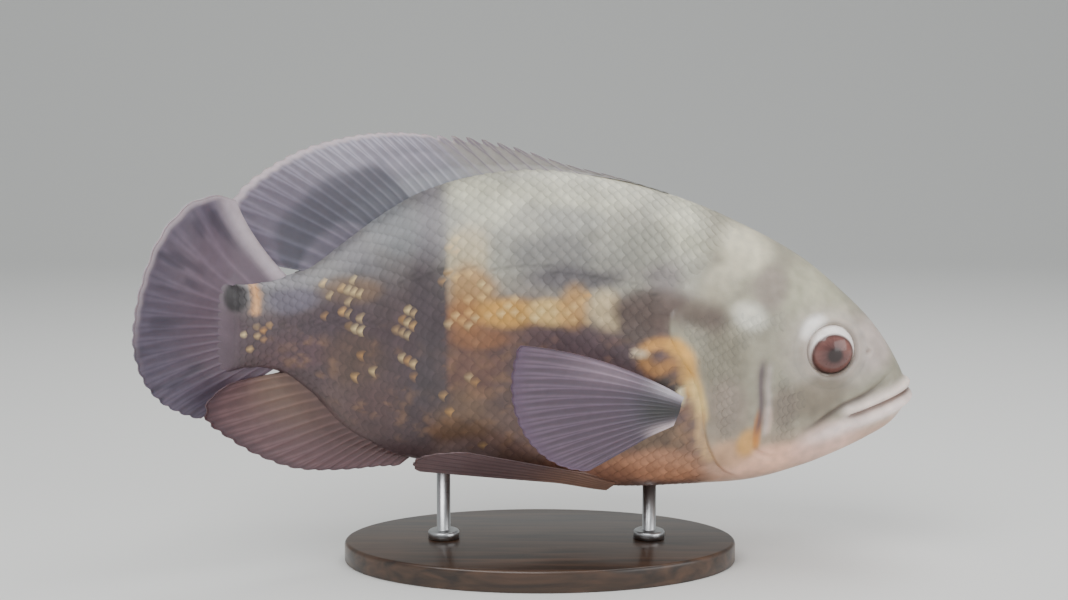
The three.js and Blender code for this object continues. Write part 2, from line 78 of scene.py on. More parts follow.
head = {
    "eyeX": 106.6, "eyeZ": 83.6, "eyeRadius": 9.3, "eyeDepth": 6.6, "eyeBulge": 3.2, "socket": 8.6,
    "mouthFront": (140.5, 67.9), "mouthCorner": (114.5, 58.4), "nostril": (121.6, 82.6), "coverHeight": 0.9,
    # low forms: height over the plain body, distance of the crest from its line, and width
    "upperLip": (1.6, 2.2, 1.7), "lowerLip": (2.0, -3.0, 2.2), "mouthLine": (-1.9, 0, 0.55),
    "eyeRim": (1.1, 10.6, 2.2), "nostrilRim": (0.4, 1.9, 0.9), "nostrilPit": (-1.6, 0, 0.8),
    "gillGroove": (-0.3, 0, 2), "cheekCrease": (-0.7, 0, 1.1), "cheekLip": (0.3, -1.8, 1.2),
    "jawCrease": (-1.2, 0, 1.1), "jawLip": (0.5, -2.2, 1.4),
}
gillLine = [
    (52, 101), (47, 97.5), (46.6, 90.5), (50, 83), (55.4, 74.6), (58.4, 65.8),
    (59.9, 55), (62.2, 46.5), (67, 38.5), (76, 33.5),
]
cheekLine = [
    (88, 84), (83.4, 81.5), (81.6, 78), (81.2, 71), (81.6, 63), (80.6, 54),
    (78.6, 47.5), (83, 43.5), (92, 42),
]
jawFold = [(135.5, 78), (130.5, 73.6), (125.5, 69.4), (119.9, 65.9), (111.8, 62.2), (104, 56.8), (96, 51)]
lateralLine = [
    [(48, 102), (30, 109), (0, 114), (-30, 113), (-54, 108)],
    [(-50, 94), (-80, 93), (-112, 92.5)],
]


def smooth(low, high, value):
    # eased step from 0 at low to 1 at high
    t = np.clip((value - low) / (high - low), 0, 1)
    return t * t * (3 - 2 * t)


def grid(a, b):
    # every pair of two lists' values, as two arrays
    return np.meshgrid(a, b, indexing="ij")


def stacked(*parts):
    # coordinates side by side as points
    return np.stack(np.broadcast_arrays(*parts), -1)


def turnOf(count):
    # even angles once round
    return np.linspace(0, 2 * math.pi, count, endpoint=False)


def unitNormal(a, b):
    # one long, square to both directions
    normal = np.cross(a, b)
    return normal / (np.linalg.norm(normal, axis=-1, keepdims=True) + 1e-9)


def bump(value, centre, width):
    # bell curve: 1 at the centre and 0.37 one width away
    return np.exp(-(((value - centre) / width) ** 2))


def mix(a, b, t):
    # straight blend, a where t is 0 and b where it is 1
    return a + (b - a) * t


def between(value, a, b, c, d):
    # 1 from b to c, eased in from a and out to d
    return smooth(a, b, value) * (1 - smooth(c, d, value))


def curveAt(rows, key):
    # cubic spans through rows of (key, values), with slopes taken from the neighbouring rows
    rows = np.asarray(rows, float)
    key = np.asarray(key, float)
    i = np.searchsorted(rows[1:-1, 0], key, side="left")
    before, a, b = rows[np.maximum(i - 1, 0)], rows[i], rows[i + 1]
    after = rows[np.minimum(i + 2, len(rows) - 1)]
    span = b[..., :1] - a[..., :1]
    t = np.clip((key[..., None] - a[..., :1]) / span, 0, 1)
    slopeA = (b - before) / (b[..., :1] - before[..., :1]) * span
    slopeB = (after - a) / (after[..., :1] - a[..., :1]) * span
    t2, t3 = t * t, t * t * t
    value = (2 * t3 - 3 * t2 + 1) * a + (t3 - 2 * t2 + t) * slopeA
    value = value + (3 * t2 - 2 * t3) * b + (t3 - t2) * slopeB
    return np.moveaxis(value[..., 1:], -1, 0)


def station(s):
    # the section's sizes, on a curve over the distance's square root, so that the snout is round
    return curveAt(stationsByRoot, np.sqrt(np.maximum(s, 0)))


def spine(s):
    # centre line: straight, then an arc to the fish's right, then a tighter arc through the tail fin
    bendAngle, tailSweep = math.radians(fish["bendAngle"]), math.radians(fish["tailSweep"])
    bendRate = bendAngle / (fish["bendEnd"] - fish["bendStart"])
    sweepRate = tailSweep / fish["tailReach"]
    turned = np.clip((s - fish["bendStart"]) * bendRate, 0, bendAngle)
    onward = bendAngle + np.maximum(0, s - fish["bendEnd"]) * sweepRate
    x = fish["snoutX"] - np.minimum(s, fish["bendStart"]) - np.sin(turned) / bendRate
    x = x - (np.sin(onward) - math.sin(bendAngle)) / sweepRate
    y = (np.cos(turned) - 1) / bendRate + (np.cos(onward) - math.cos(bendAngle)) / sweepRate
    return x, y, np.where(s < fish["bendEnd"], turned, onward)


def placed(s, side, z):
    # a place beside the centre line; past the body's end it leans with the tail fin
    x, y, turned = spine(s)
    side = side - fish["tailTwist"] * (z - fish["tailMiddle"]) * smooth(0, 25, s - fish["length"])
    return stacked(x - side * np.sin(turned), y + side * np.cos(turned), z)


def bodySurface(s, angle):
    # section: level by the cosine and width by a bowed sine of the angle round from the back
    back, belly, widest, halfWidth, bowTop, bowBottom = station(s)
    up, reach = np.cos(angle), np.sin(angle)
    bow = np.where(up > 0, mix(1, bowTop, up), mix(1, bowBottom, -up))
    side = np.sign(reach) * halfWidth * np.abs(reach) ** bow
    z = widest + up * np.where(up > 0, back - widest, widest - belly)
    return stacked(-s, side, z)


def skinPoints(s, angle, height):
    # the surface pushed out by a height along its own normal, then bent along the spine
    s, angle = np.broadcast_arrays(s, angle)
    small = 0.01
    along = bodySurface(s + small, angle) - bodySurface(np.maximum(s - small, 0), angle)
    around = bodySurface(s, angle + small) - bodySurface(s, angle - small)
    point = bodySurface(s, angle) + unitNormal(around, along) * height[..., None]
    return placed(-point[..., 0], point[..., 1], point[..., 2])


def angleAt(s, z, side):
    # the angle round the section at which the surface has the height z on one side
    back, belly, widest = station(s)[:3]
    up = (z - widest) / np.where(z > widest, back - widest, widest - belly)
    return side * np.arccos(np.clip(up, -1, 1))


def lineDistance(x, z, line):
    # distance to a polyline, above zero to the right of its run, and the share of its length at the foot
    best = np.full(np.shape(x), 1e9)
    sign = np.zeros(np.shape(x))
    along = np.zeros(np.shape(x))
    lengths = np.hypot(*np.diff(line, axis=0).T)
    start = 0
    for (ax, az), (bx, bz), length in zip(line[:-1], line[1:], lengths):
        dx, dz = (bx - ax) / length, (bz - az) / length
        t = np.clip((x - ax) * dx + (z - az) * dz, 0, length)
        distance = np.hypot(x - ax - t * dx, z - az - t * dz)
        side = (x - ax) * dz - (z - az) * dx
        closer = distance < best
        best = np.where(closer, distance, best)
        sign = np.where(closer, np.sign(side), sign)
        along = np.where(closer, (start + t) / lengths.sum(), along)
        start += length
    return best * sign, along


def smoothLine(points, count=40):
    # a smooth curve through a few points, as a fine polyline
    rows = np.column_stack([np.linspace(0, 1, len(points)), points])
    return curveAt(rows, np.linspace(0, 1, count)).T


gillCurve = smoothLine(gillLine)
cheekCurve = smoothLine(cheekLine)
foldCurve = smoothLine(jawFold)

lattice = np.random.default_rng(11).random((3, 64, 64))


def blotch(x, z, size, layer=0):
    # smooth value noise from 0 to 1 on a fixed random lattice
    u, v = x / size + 17.3, z / size + 9.1
    i, j = np.floor(u).astype(int), np.floor(v).astype(int)
    fu, fv = smooth(0, 1, u - i), smooth(0, 1, v - j)
    grid = lattice[layer]
    a, b = grid[i % 64, j % 64], grid[(i + 1) % 64, j % 64]
    c, d = grid[i % 64, (j + 1) % 64], grid[(i + 1) % 64, (j + 1) % 64]
    return mix(mix(a, b, fu), mix(c, d, fu), fv)


def mouthPlace(x, z):
    # how far along the mouth line a place lies, 1 at the corner, and how far above it
    (frontX, frontZ), (cornerX, cornerZ) = head["mouthFront"], head["mouthCorner"]
    alongX, alongZ = cornerX - frontX, cornerZ - frontZ
    length = math.hypot(alongX, alongZ)
    along = ((x - frontX) * alongX + (z - frontZ) * alongZ) / length ** 2
    above = ((x - frontX) * alongZ - (z - frontZ) * alongX) / length
    return along, above


def fromEye(x, z):
    # distance from the eye's middle in the side view
    return np.hypot(x - head["eyeX"], z - head["eyeZ"])


def ridge(name, distance):
    # one of the head's low forms: a bell curve of the distance from its line
    height, centre, width = head[name]
    return height * bump(distance, centre, width)


def relief(x, z, withCover=1.0):
    # height of the skin over the plain body: lips, mouth, nostril, eye rim, cheek fold and gill cover
    along, above = mouthPlace(x, z)
    lips = ridge("upperLip", above) + ridge("lowerLip", above)
    lips = lips + ridge("mouthLine", above) * (1 - smooth(0.95, 1.02, along))
    height = lips * (1 - smooth(0.86, 1.12, along))
    height = height + ridge("eyeRim", fromEye(x, z))
    fromNostril = np.hypot(x - head["nostril"][0], z - head["nostril"][1])
    height = height + ridge("nostrilRim", fromNostril) + ridge("nostrilPit", fromNostril)
    gill, gillAlong = lineDistance(x, z, gillCurve)
    edge = head["coverHeight"] * smooth(-16, -2, gill) * smooth(0, -0.9, gill)
    cover = np.where(gill < 0, edge, ridge("gillGroove", gill))
    height = height + withCover * between(gillAlong, 0, 0.1, 0.86, 1) * cover
    cheek, cheekAlong = lineDistance(x, z, cheekCurve)
    cheekForm = ridge("cheekCrease", cheek) + ridge("cheekLip", cheek)
    fold, foldAlong = lineDistance(x, z, foldCurve)
    jawForm = ridge("jawCrease", fold) + ridge("jawLip", fold)
    height = height + between(cheekAlong, 0, 0.2, 0.8, 1) * cheekForm
    return height + between(foldAlong, 0, 0.3, 0.75, 1) * jawForm


def linear(colour):
    # screen colour from 0 to 255 into linear light
    value = np.asarray(colour, float) / 255
    return np.where(value < 0.04045, value / 12.92, ((value + 0.055) / 1.055) ** 2.4)


def tinted(colour, tone, share):
    # a colour moved towards a screen colour by each place's share
    return mix(colour, linear(tone), share[..., None])


# Markings, and one painted highlight among the head's patches: each is a soft oval patch with its middle,
# half sizes, tilt in degrees, colour and strength
flankPatches = [
    (59, 129, 17, 12, -30, (200, 196, 172), 0.85),
    (22, 142, 36, 9, 0, (202, 198, 176), 0.85),
    (-20, 138, 14, 10, 0, (206, 202, 176), 0.85),
    (9, 131, 15, 6, 0, (158, 156, 150), 0.6),
    (6, 118, 26, 11, -4, (126, 123, 120), 0.9),
    (14, 110, 22, 5, 0, (100, 94, 98), 0.85),
    (44, 104, 14, 5, 0, (112, 98, 96), 0.7),
    (45, 110, 10, 7, 0, (124, 114, 116), 0.75),
    (36, 122, 12, 9, 0, (148, 146, 134), 0.6),
    (20, 80, 26, 15, 0, (86, 70, 76), 0.75),
    (-24, 76, 13, 13, 0, (112, 78, 66), 0.85),
    (-28, 55, 15, 13, 0, (122, 96, 76), 0.85),
    (-12, 62, 8, 15, 0, (112, 88, 80), 0.7),
    (-6, 44, 26, 8, 0, (124, 98, 90), 0.7),
    (-72, 62, 20, 16, 0, (118, 94, 90), 0.6),
    (44, 51, 12, 7, 0, (124, 100, 78), 0.8),
    (46, 40, 24, 6, 0, (194, 138, 106), 0.9),
    (8, 36, 26, 6, 0, (150, 104, 84), 0.75),
    (-30, 42, 14, 7, 0, (140, 118, 116), 0.75),
    (-40, 128, 7, 16, 0, (116, 110, 116), 0.85),
    (-56, 130, 13, 10, -20, (124, 126, 130), 0.75),
    (-75, 121, 14, 7, -34, (120, 116, 122), 0.8),
    (-73, 105, 11, 5, 0, (136, 108, 84), 0.7),
    (-81, 92, 18, 10, 0, (84, 68, 76), 0.75),
    (-96, 102, 10, 5, 0, (112, 105, 120), 0.85),
    (-95, 82, 15, 7, 0, (98, 72, 78), 0.85),
    (-72, 79, 12, 12, 0, (100, 76, 62), 0.6),
    (-64, 60, 13, 12, 0, (96, 70, 70), 0.75),
    (-103, 109, 14, 3.5, 0, (150, 146, 152), 0.7),
    (36, 94, 9, 7, 0, (98, 84, 78), 0.85),
    (49, 95, 9, 4, 0, (92, 74, 68), 0.8),
    (46, 71, 6, 4, 0, (56, 50, 46), 0.85),
]
# gold marks, which end at sharp edges before and behind
goldPatches = [
    (-26, 119, 9, 13, 0, (208, 190, 154), 0.85),
    (-24, 106, 11, 9, 0, (180, 138, 88), 0.9),
    (-27, 96, 8, 7, 0, (164, 112, 66), 0.85),
    (-12, 98, 12, 6, 0, (210, 156, 76), 0.95),
    (3, 98.5, 8, 5, 0, (226, 186, 116), 0.9),
    (13, 101, 6, 8, 0, (208, 158, 94), 0.85),
    (24, 99.5, 8, 8, 0, (218, 194, 150), 0.9),
    (-22, 88, 12, 4, 0, (150, 100, 62), 0.7),
]
headPatches = [
    (101, 104, 14, 12, -40, (180, 176, 152), 0.85),
    (76, 121, 11, 9, -30, (212, 204, 178), 0.9),
    (64, 108, 15, 5.5, 38, (204, 196, 172), 0.85),
    (84, 106, 7, 10, -30, (146, 134, 124), 0.85),
    (70, 104, 10, 6, -10, (168, 162, 142), 0.6),
    (76.5, 96.5, 7.5, 5.5, -14, (220, 216, 200), 0.9),
    (122, 85, 10, 10, -30, (182, 166, 160), 0.85),
    (106, 84, 17, 15, 0, (196, 182, 172), 0.75),
    # painted highlight: a near-white wet crescent on the skin above and behind the eye
    (99.6, 91.8, 5.5, 3.8, 45, (250, 242, 236), 0.9),
    (101, 66, 13, 8, 20, (124, 112, 96), 0.85),
    (89, 62, 6, 9, 0, (130, 116, 104), 0.8),
    (66, 81, 10, 16, 0, (130, 122, 104), 0.85),
    (68, 63, 9, 12, 0, (140, 124, 112), 0.8),
    (58, 104, 9, 5, 0, (166, 156, 136), 0.7),
    (84, 42, 18, 6, 10, (244, 192, 164), 0.95),
    (106, 48, 15, 7, 22, (224, 182, 166), 0.9),
    (70, 45, 9, 6, 0, (202, 160, 126), 0.85),
    (76.5, 49, 4.5, 6, -20, (208, 156, 84), 0.9),
    (83.6, 58, 1.8, 6, 0, (206, 176, 160), 0.6),
    (79.9, 54, 1.6, 7.5, -3, (198, 130, 62), 0.95),
]
# painted lines: their points, half width, colour and strength
strokes = [
    ([(30, 99), (38, 101), (47, 100), (56, 98), (63, 96)], 5.8, (92, 76, 70), 0.85),
    ([(37, 83.5), (40, 86), (45, 87), (50, 85)], 2.4, (208, 150, 78), 0.9),
    ([(38, 80), (42, 77), (47, 79)], 2.8, (170, 118, 60), 0.85),
    ([(49, 86), (53, 82), (54, 76), (55.5, 70)], 3.2, (220, 166, 82), 0.95),
    ([(55.5, 72), (58, 66), (59, 60)], 2.3, (226, 192, 124), 0.95),
    ([(59, 60), (58.8, 53), (60.5, 47), (62.5, 43)], 1.8, (208, 168, 118), 0.85),
    ([(35, 83.6), (37.5, 83)], 1.6, (230, 208, 176), 0.9),
    ([(51.3, 69.5), (51.5, 65.5)], 1.5, (236, 222, 184), 0.9),
    ([(-109.4, 109.5), (-108.6, 104), (-109.6, 98.5)], 1.7, (232, 170, 112), 0.95),
]
skinTones = {
    "belly": (124, 92, 82), "flank": (100, 78, 78), "back": (172, 168, 154), "rear": (84, 66, 72),
    "rearBack": (116, 112, 116), "throat": (190, 150, 128), "head": (154, 148, 130), "rust": (150, 112, 82),
    "shadow": (66, 54, 58), "band": (74, 63, 68), "tailRoot": (96, 80, 92), "tailSpot": (30, 24, 28),
    "cheekFoldShade": (88, 72, 78), "cheekEdgeHighlight": (190, 176, 172), "upperLip": (246, 228, 218),
    "lowerLip": (255, 234, 228), "mouthLine": (112, 78, 72), "jawFold": (80, 66, 60),
}
# where tones ease in or out: in x, but the levels and the gill's top in z, the gill's edge from its line and
# the tail's root behind the snout; and the tail spot's middle and half sizes
marks = {
    "rear": (-34, -44), "nape": (54, 66), "headFront": (40, 48), "gillTop": (106, 98),
    "gillEdge": (1.2, -1.2), "gold": (-35.2, -33.8, 28.6, 29.8), "band": (-53, -45, -35.4, -34),
    "bandLevels": (56, 70, 110, 122), "tailRoot": (250, 262), "tailSpot": (-116.5, 103.6, 4.6, 5.6),
}


def paint(s, z):
    # the fish's colours over its unbent side view, in linear light: ground tones by level and place, then
    # patches with one painted highlight by the eye, mottling, the dark band, strokes, the tail spot, painted
    # shade and a painted highlight along the cheek fold, and the mouth with painted shade in its slit and
    # fold, over them
    back, belly = station(s)[:2]
    x = fish["snoutX"] - s
    share = np.clip((z - belly) / (back - belly + 1e-6), 0, 1)
    wander = blotch(x, z, 12, 0) - 0.5
    colour = tinted(linear(skinTones["belly"]), skinTones["flank"], smooth(0.04, 0.3, share))
    colour = tinted(colour, skinTones["back"], smooth(0.5, 0.78, share + 0.16 * wander))
    rear = smooth(*marks["rear"], x)[..., None]
    rearTone = tinted(linear(skinTones["rear"]), skinTones["rearBack"], smooth(0.6, 0.9, share))
    colour = mix(colour, rearTone, 0.85 * rear)
    gill = lineDistance(x, z, gillCurve)[0]
    onCover = smooth(*marks["gillEdge"], gill) * smooth(*marks["gillTop"], z)
    onHead = np.maximum(onCover, smooth(*marks["nape"], x)) * smooth(*marks["headFront"], x)
    headTone = tinted(linear(skinTones["throat"]), skinTones["head"], smooth(0.02, 0.3, share))
    colour = mix(colour, headTone, onHead[..., None])
    colour = patched(colour, x, z, flankPatches, wander, 1 - onHead) * (1 - 0.17 * rear)
    colour = patched(colour, x, z, goldPatches, wander, between(x, *marks["gold"]) * (1 - onHead))
    colour = patched(colour, x, z, headPatches, 0.4 * wander, onHead)
    # rust and shadow, broken up small, over the dark lower half
    low = between(share, 0.02, 0.14, 0.36, 0.6) * (1 - onHead) * (1 - smooth(236, 250, s))
    rust = smooth(0.56, 0.8, 0.55 * blotch(x, z, 5.2, 1) + 0.45 * blotch(x, z, 2.1, 2))
    colour = tinted(colour, skinTones["rust"], 0.5 * rust * low)
    shadow = smooth(0.6, 0.85, 0.6 * blotch(z, x, 6.5, 0) + 0.4 * blotch(z, x, 2.6, 1))
    colour = tinted(colour, skinTones["shadow"], 0.45 * shadow * low)
    # pale and grey mottling over the back
    cloud = 0.6 * blotch(x, z, 8, 2) + 0.4 * blotch(x, z, 3, 0)
    high = smooth(0.45, 0.65, share) * (1 - 0.7 * onHead) * (1 - smooth(190, 215, s))
    colour = colour * (1 + 0.26 * (cloud - 0.5) * high)[..., None]
    bandRear, bandRearFull, bandFrontFull, bandFront = marks["band"]
    band = smooth(bandRear, bandRearFull, x + 8 * wander) * (1 - smooth(bandFrontFull, bandFront, x))
    colour = tinted(colour, skinTones["band"], 0.9 * band * between(z, *marks["bandLevels"]))
    colour = tinted(colour, skinTones["tailRoot"], 0.8 * smooth(*marks["tailRoot"], s))
    for line, width, tone, strength in strokes:
        distance = lineDistance(x, z, smoothLine(line, 16))[0]
        colour = tinted(colour, tone, np.exp(-(np.abs(distance) / width) ** 3) * strength)
    spotX, spotZ, spotWide, spotTall = marks["tailSpot"]
    spot = 1 - smooth(0.75, 1.15, np.hypot((x - spotX) / spotWide, (z - spotZ) / spotTall))
    colour = tinted(colour, skinTones["tailSpot"], 0.95 * spot)
    cheek, cheekAlong = lineDistance(x, z, cheekCurve)
    inCheek = between(cheekAlong, 0.08, 0.2, 0.55, 0.7)
    # painted shade in the cheek fold's crease, and a painted highlight along its raised edge
    colour = tinted(colour, skinTones["cheekFoldShade"], 0.9 * inCheek * bump(cheek, 0.6, 1.4))
    colour = tinted(colour, skinTones["cheekEdgeHighlight"], 0.6 * inCheek * bump(cheek, -1.9, 1.1))
    colour = paintMouth(colour, x, z)
    fine, broad = 0.9 + 0.2 * blotch(x, z, 2.6, 1), 0.92 + 0.16 * blotch(x, z, 7, 2)
    return np.clip(colour * (fine * broad)[..., None], 0, 1)


def paintMouth(colour, x, z):
    # pale lips either side of the mouth line, a brown line of painted shade between them and painted shade
    # in the dark fold above
    along, above = mouthPlace(x, z)
    fold, foldAlong = lineDistance(x, z, foldCurve)
    shares = {
        "upperLip": 0.95 * bump(above, 2.4, 2.3) * (1 - smooth(0.95, 1.15, along)),
        "lowerLip": 0.97 * bump(above, -3.2, 3.2) * (1 - smooth(1.2, 1.9, along)),
        # painted shade: a brown line in the mouth's slit, and a dark band in the jaw fold's groove
        "mouthLine": 0.8 * bump(above, 0, 0.8) * (1 - smooth(0.98, 1.06, along)),
        "jawFold": 0.85 * between(foldAlong, 0.12, 0.45, 0.78, 1) * bump(fold, 0.2, 1.3),
    }
    for name, share in shares.items():
        colour = tinted(colour, skinTones[name], share)
    return colour


def patched(colour, x, z, patches, wander, where):
    # soft turned ovals over a colour, full within half their size and gone past 1.3 of it
    for cx, cz, rx, rz, tilt, tone, strength in patches:
        turn = math.radians(tilt)
        dx, dz = x - cx, z - cz
        u = (dx * math.cos(turn) + dz * math.sin(turn)) / rx
        v = (-dx * math.sin(turn) + dz * math.cos(turn)) / rz
        inside = 1 - smooth(0.5, 1.3, np.sqrt(u * u + v * v) + 0.6 * wander)
        colour = tinted(colour, tone, inside * strength * where)
    return colour


def makeMesh(name, points, faces, colours=None, uvs=None):
    # points in millimetres; faces is one array of quads or triangles, or a list of both
    points = points.reshape(-1, 3) * mm
    faces = faces if isinstance(faces, list) else [faces]
    corners = np.concatenate([f.ravel() for f in faces]).astype(np.int32)
    sizes = np.concatenate([np.full(len(f), f.shape[1]) for f in faces]).astype(np.int32)
    starts = np.concatenate([[0], np.cumsum(sizes)[:-1]]).astype(np.int32)
    mesh = bpy.data.meshes.new(name)
    mesh.vertices.add(len(points))
    mesh.vertices.foreach_set("co", points.astype(np.float32).ravel())
    mesh.loops.add(len(corners))
    mesh.loops.foreach_set("vertex_index", corners)
    mesh.polygons.add(len(sizes))
    mesh.polygons.foreach_set("loop_start", starts)
    mesh.polygons.foreach_set("use_smooth", np.ones(len(sizes), bool))
    mesh.update(calc_edges=True)
    if colours is not None:
        layer = mesh.color_attributes.new("tint", "FLOAT_COLOR", "POINT")
        full = np.ones((len(points), 4), np.float32)
        full[:, :3] = np.clip(colours, 0, 1).reshape(-1, 3)
        layer.data.foreach_set("color", full.ravel())
    if uvs is not None:
        layer = mesh.uv_layers.new(name="OFBake")
        layer.data.foreach_set("uv", uvs.astype(np.float32)[corners].ravel())
    mesh.validate()
    piece = bpy.data.objects.new(name, mesh)
    bpy.context.scene.collection.objects.link(piece)
    return piece


def gridFaces(rows, columns, closed=False):
    # quads over a grid of rows by columns of points, wound so that rows cross columns outwards
    i, j = grid(np.arange(rows - 1), np.arange(columns if closed else columns - 1))
    k = (j + 1) % columns
    quads = np.stack([i * columns + j, i * columns + k, (i + 1) * columns + k, (i + 1) * columns + j], -1)
    return quads.reshape(-1, 4)


def finishPiece(piece, material, slotName, *nodes):
    # the finish, the body that carries the piece, its slot's name, which is not used, and the plain nodes
    # that it takes the place of
    piece.data.materials.append(material)
    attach(piece, "root")
    if nodes:
        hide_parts(*nodes)


def setInputs(node, values):
    # each named socket gets its constant
    for label, value in values.items():
        node.inputs[label].default_value = value


def startMaterial(name):
    # a new material with its shader, a maker of nodes with their constants, and a joiner of sockets
    material = bpy.data.materials.new(name)
    material.use_nodes = True
    tree = material.node_tree

    def add(kind, **values):
        node = tree.nodes.new("ShaderNode" + kind)
        setInputs(node, values)
        return node

    return material, tree.nodes["Principled BSDF"], add, tree.links.new


def rangeOf(add, join, source, low, high):
    # a noise's 0 to 1 carried over to low to high
    node = add("MapRange")
    setInputs(node, {"To Min": low, "To Max": high})
    join(source, node.inputs["Value"])
    return node.outputs["Result"]


def bumpsOf(add, join, source, strength, depth, shader):
    # a noise as small bumps, so many metres deep
    node = add("Bump", Strength=strength, Distance=depth)
    join(source, node.inputs["Height"])
    join(node.outputs["Normal"], shader.inputs["Normal"])


def paintedMaterial(name, look):
    # the painted tint times a noise, gloss varied by the same noise, and fine bumps, under a clear coat
    material, shader, add, join = startMaterial(name)
    place = add("TexCoord").outputs["Object"]
    tint = add("Attribute")
    tint.attribute_name = "tint"
    mottle = add("TexNoise", Scale=look["mottleScale"], Detail=6)
    grain = add("TexNoise", Scale=look["grainScale"], Detail=4)
    join(place, mottle.inputs["Vector"])
    join(place, grain.inputs["Vector"])
    shade = add("Mix")
    shade.data_type = "RGBA"
    shade.blend_type = "MULTIPLY"
    shade.inputs["Factor"].default_value = 1
    join(tint.outputs["Color"], shade.inputs["A"])
    for middle, reach, socket in ((1, look["mottle"], shade.inputs["B"]),
                                  (look["roughness"], 0.08, shader.inputs["Roughness"])):
        join(rangeOf(add, join, mottle.outputs["Fac"], middle - reach, middle + reach), socket)
    join(shade.outputs["Result"], shader.inputs["Base Color"])
    bumpsOf(add, join, grain.outputs["Fac"], look["grain"], look["grainDepth"], shader)
    setInputs(shader, {
        "Specular IOR Level": look["shine"], "Coat Weight": look["coat"],
        "Coat Roughness": look["coatRoughness"], "Subsurface Weight": look["soft"],
        "Subsurface Radius": (1.0, 0.5, 0.3), "Subsurface Scale": 0.002,
    })
    return material


skinFinish = paintedMaterial("moistSkin", {
    "mottleScale": 260, "mottle": 0.22, "roughness": 0.46, "grainScale": 1500, "grain": 0.25,
    "grainDepth": 0.0002, "coat": 0.25, "coatRoughness": 0.3, "soft": 0.1, "shine": 0.5,
})
scaleFinish = paintedMaterial("moistScales", {
    "mottleScale": 420, "mottle": 0.2, "roughness": 0.42, "grainScale": 2400, "grain": 0.2,
    "grainDepth": 0.0001, "coat": 0.3, "coatRoughness": 0.28, "soft": 0.05, "shine": 0.5,
})
finFinish = paintedMaterial("finMembrane", {
    "mottleScale": 300, "mottle": 0.2, "roughness": 0.5, "grainScale": 1800, "grain": 0.2,
    "grainDepth": 0.00015, "coat": 0.15, "coatRoughness": 0.35, "soft": 0.15, "shine": 0.5,
})

# Skin: rings along the body, closed at the snout by a small cap and at the tail by a fan
rim = {
    "radii": [7.4, 8.2, 8.7, 9.0, 9.3, 9.7, 10.2, 10.8, 11.5, 12.3, 13.2, 14.2, 15.2],
    "heights": [-5.4, -4.0, -2.4, -1.0, 0.1, 0.65, 0.75, 0.6, 0.4, 0.22, 0.1, 0.02, -0.18],
    "segments": 96, "shade": 0.72, "shadeAt": (9.6, 0.9),
}


def makeSkin():
    # rings of the body's surface raised by its relief, open round each eye for the socket's rings
    rows, columns = fish["rows"], fish["columns"]
    places = np.maximum(fish["skinEnd"] * np.linspace(0, 1, rows) ** fish["headDensity"], fish["firstRing"])
    s, angle = grid(places, turnOf(columns))
    x, z = fish["snoutX"] - s, bodySurface(s, angle)[..., 2]
    points = skinPoints(s, angle, relief(x, z) - fish["skinDepth"])
    colours = paint(s, z)
    faces = gridFaces(rows, columns, closed=True)
    outside = fromEye(x, z).ravel() > head["socket"] + 0.4
    faces = faces[outside[faces].all(axis=1)]
    j = np.arange(columns)
    k = (j + 1) % columns
    first = rows * columns
    noseCap = np.stack([np.full(columns, first), k, j], -1)
    tailCap = np.stack([np.full(columns, first + 1), first - columns + j, first - columns + k], -1)
    allPoints = [points.reshape(-1, 3), points[[0, -1]].mean(1)]
    allColours = [colours.reshape(-1, 3), colours[[0, -1]].mean(1)]
    allFaces = [faces, noseCap, tailCap]
    offset = first + 2
    for side in (1, -1):
        ringPoints, ringColours, ringFaces = eyeRim(side)
        allPoints.append(ringPoints)
        allColours.append(ringColours)
        allFaces.append(ringFaces + offset)
        offset += len(ringPoints)
    return makeMesh("fishSkin", np.concatenate(allPoints), allFaces, np.concatenate(allColours))


def eyeRim(side):
    # rings of skin round the eye: down the socket's wall, over the rim, and out under the skin
    r, t = grid(rim["radii"], turnOf(rim["segments"]))
    x, z = head["eyeX"] + r * np.cos(t), head["eyeZ"] + r * np.sin(t)
    s = fish["snoutX"] - x
    height = relief(x, z) - fish["skinDepth"] + np.array(rim["heights"])[:, None]
    points = skinPoints(s, angleAt(s, z, side), height)
    colours = paint(s, z)
    colours = mix(colours, colours * rim["shade"], bump(r, *rim["shadeAt"])[..., None])
    faces = gridFaces(len(rim["radii"]), rim["segments"], closed=True)
    return points.reshape(-1, 3), colours.reshape(-1, 3), faces[:, ::-1] if side < 0 else faces


finishPiece(makeSkin(), skinFinish, "skin_flank", "head", "lower_jaw", "gill_cover_right", "gill_cover_left",
            "trunk", "tail_stem")
print("skin made")

# Eyes: a glossy ball flattened sideways, painted from its axis outwards
eyes = {
    "rings": 48, "segments": 112, "tilt": 0.16, "irisLow": 1.5, "pupil": 2.7, "iris": 7.7,
    "pupilTone": (44, 30, 30), "innerTone": (88, 56, 54), "outerTone": (120, 78, 72),
    "irisHighlightTone": (176, 104, 84), "edgeTone": (60, 40, 38), "whiteTone": (252, 244, 240),
}


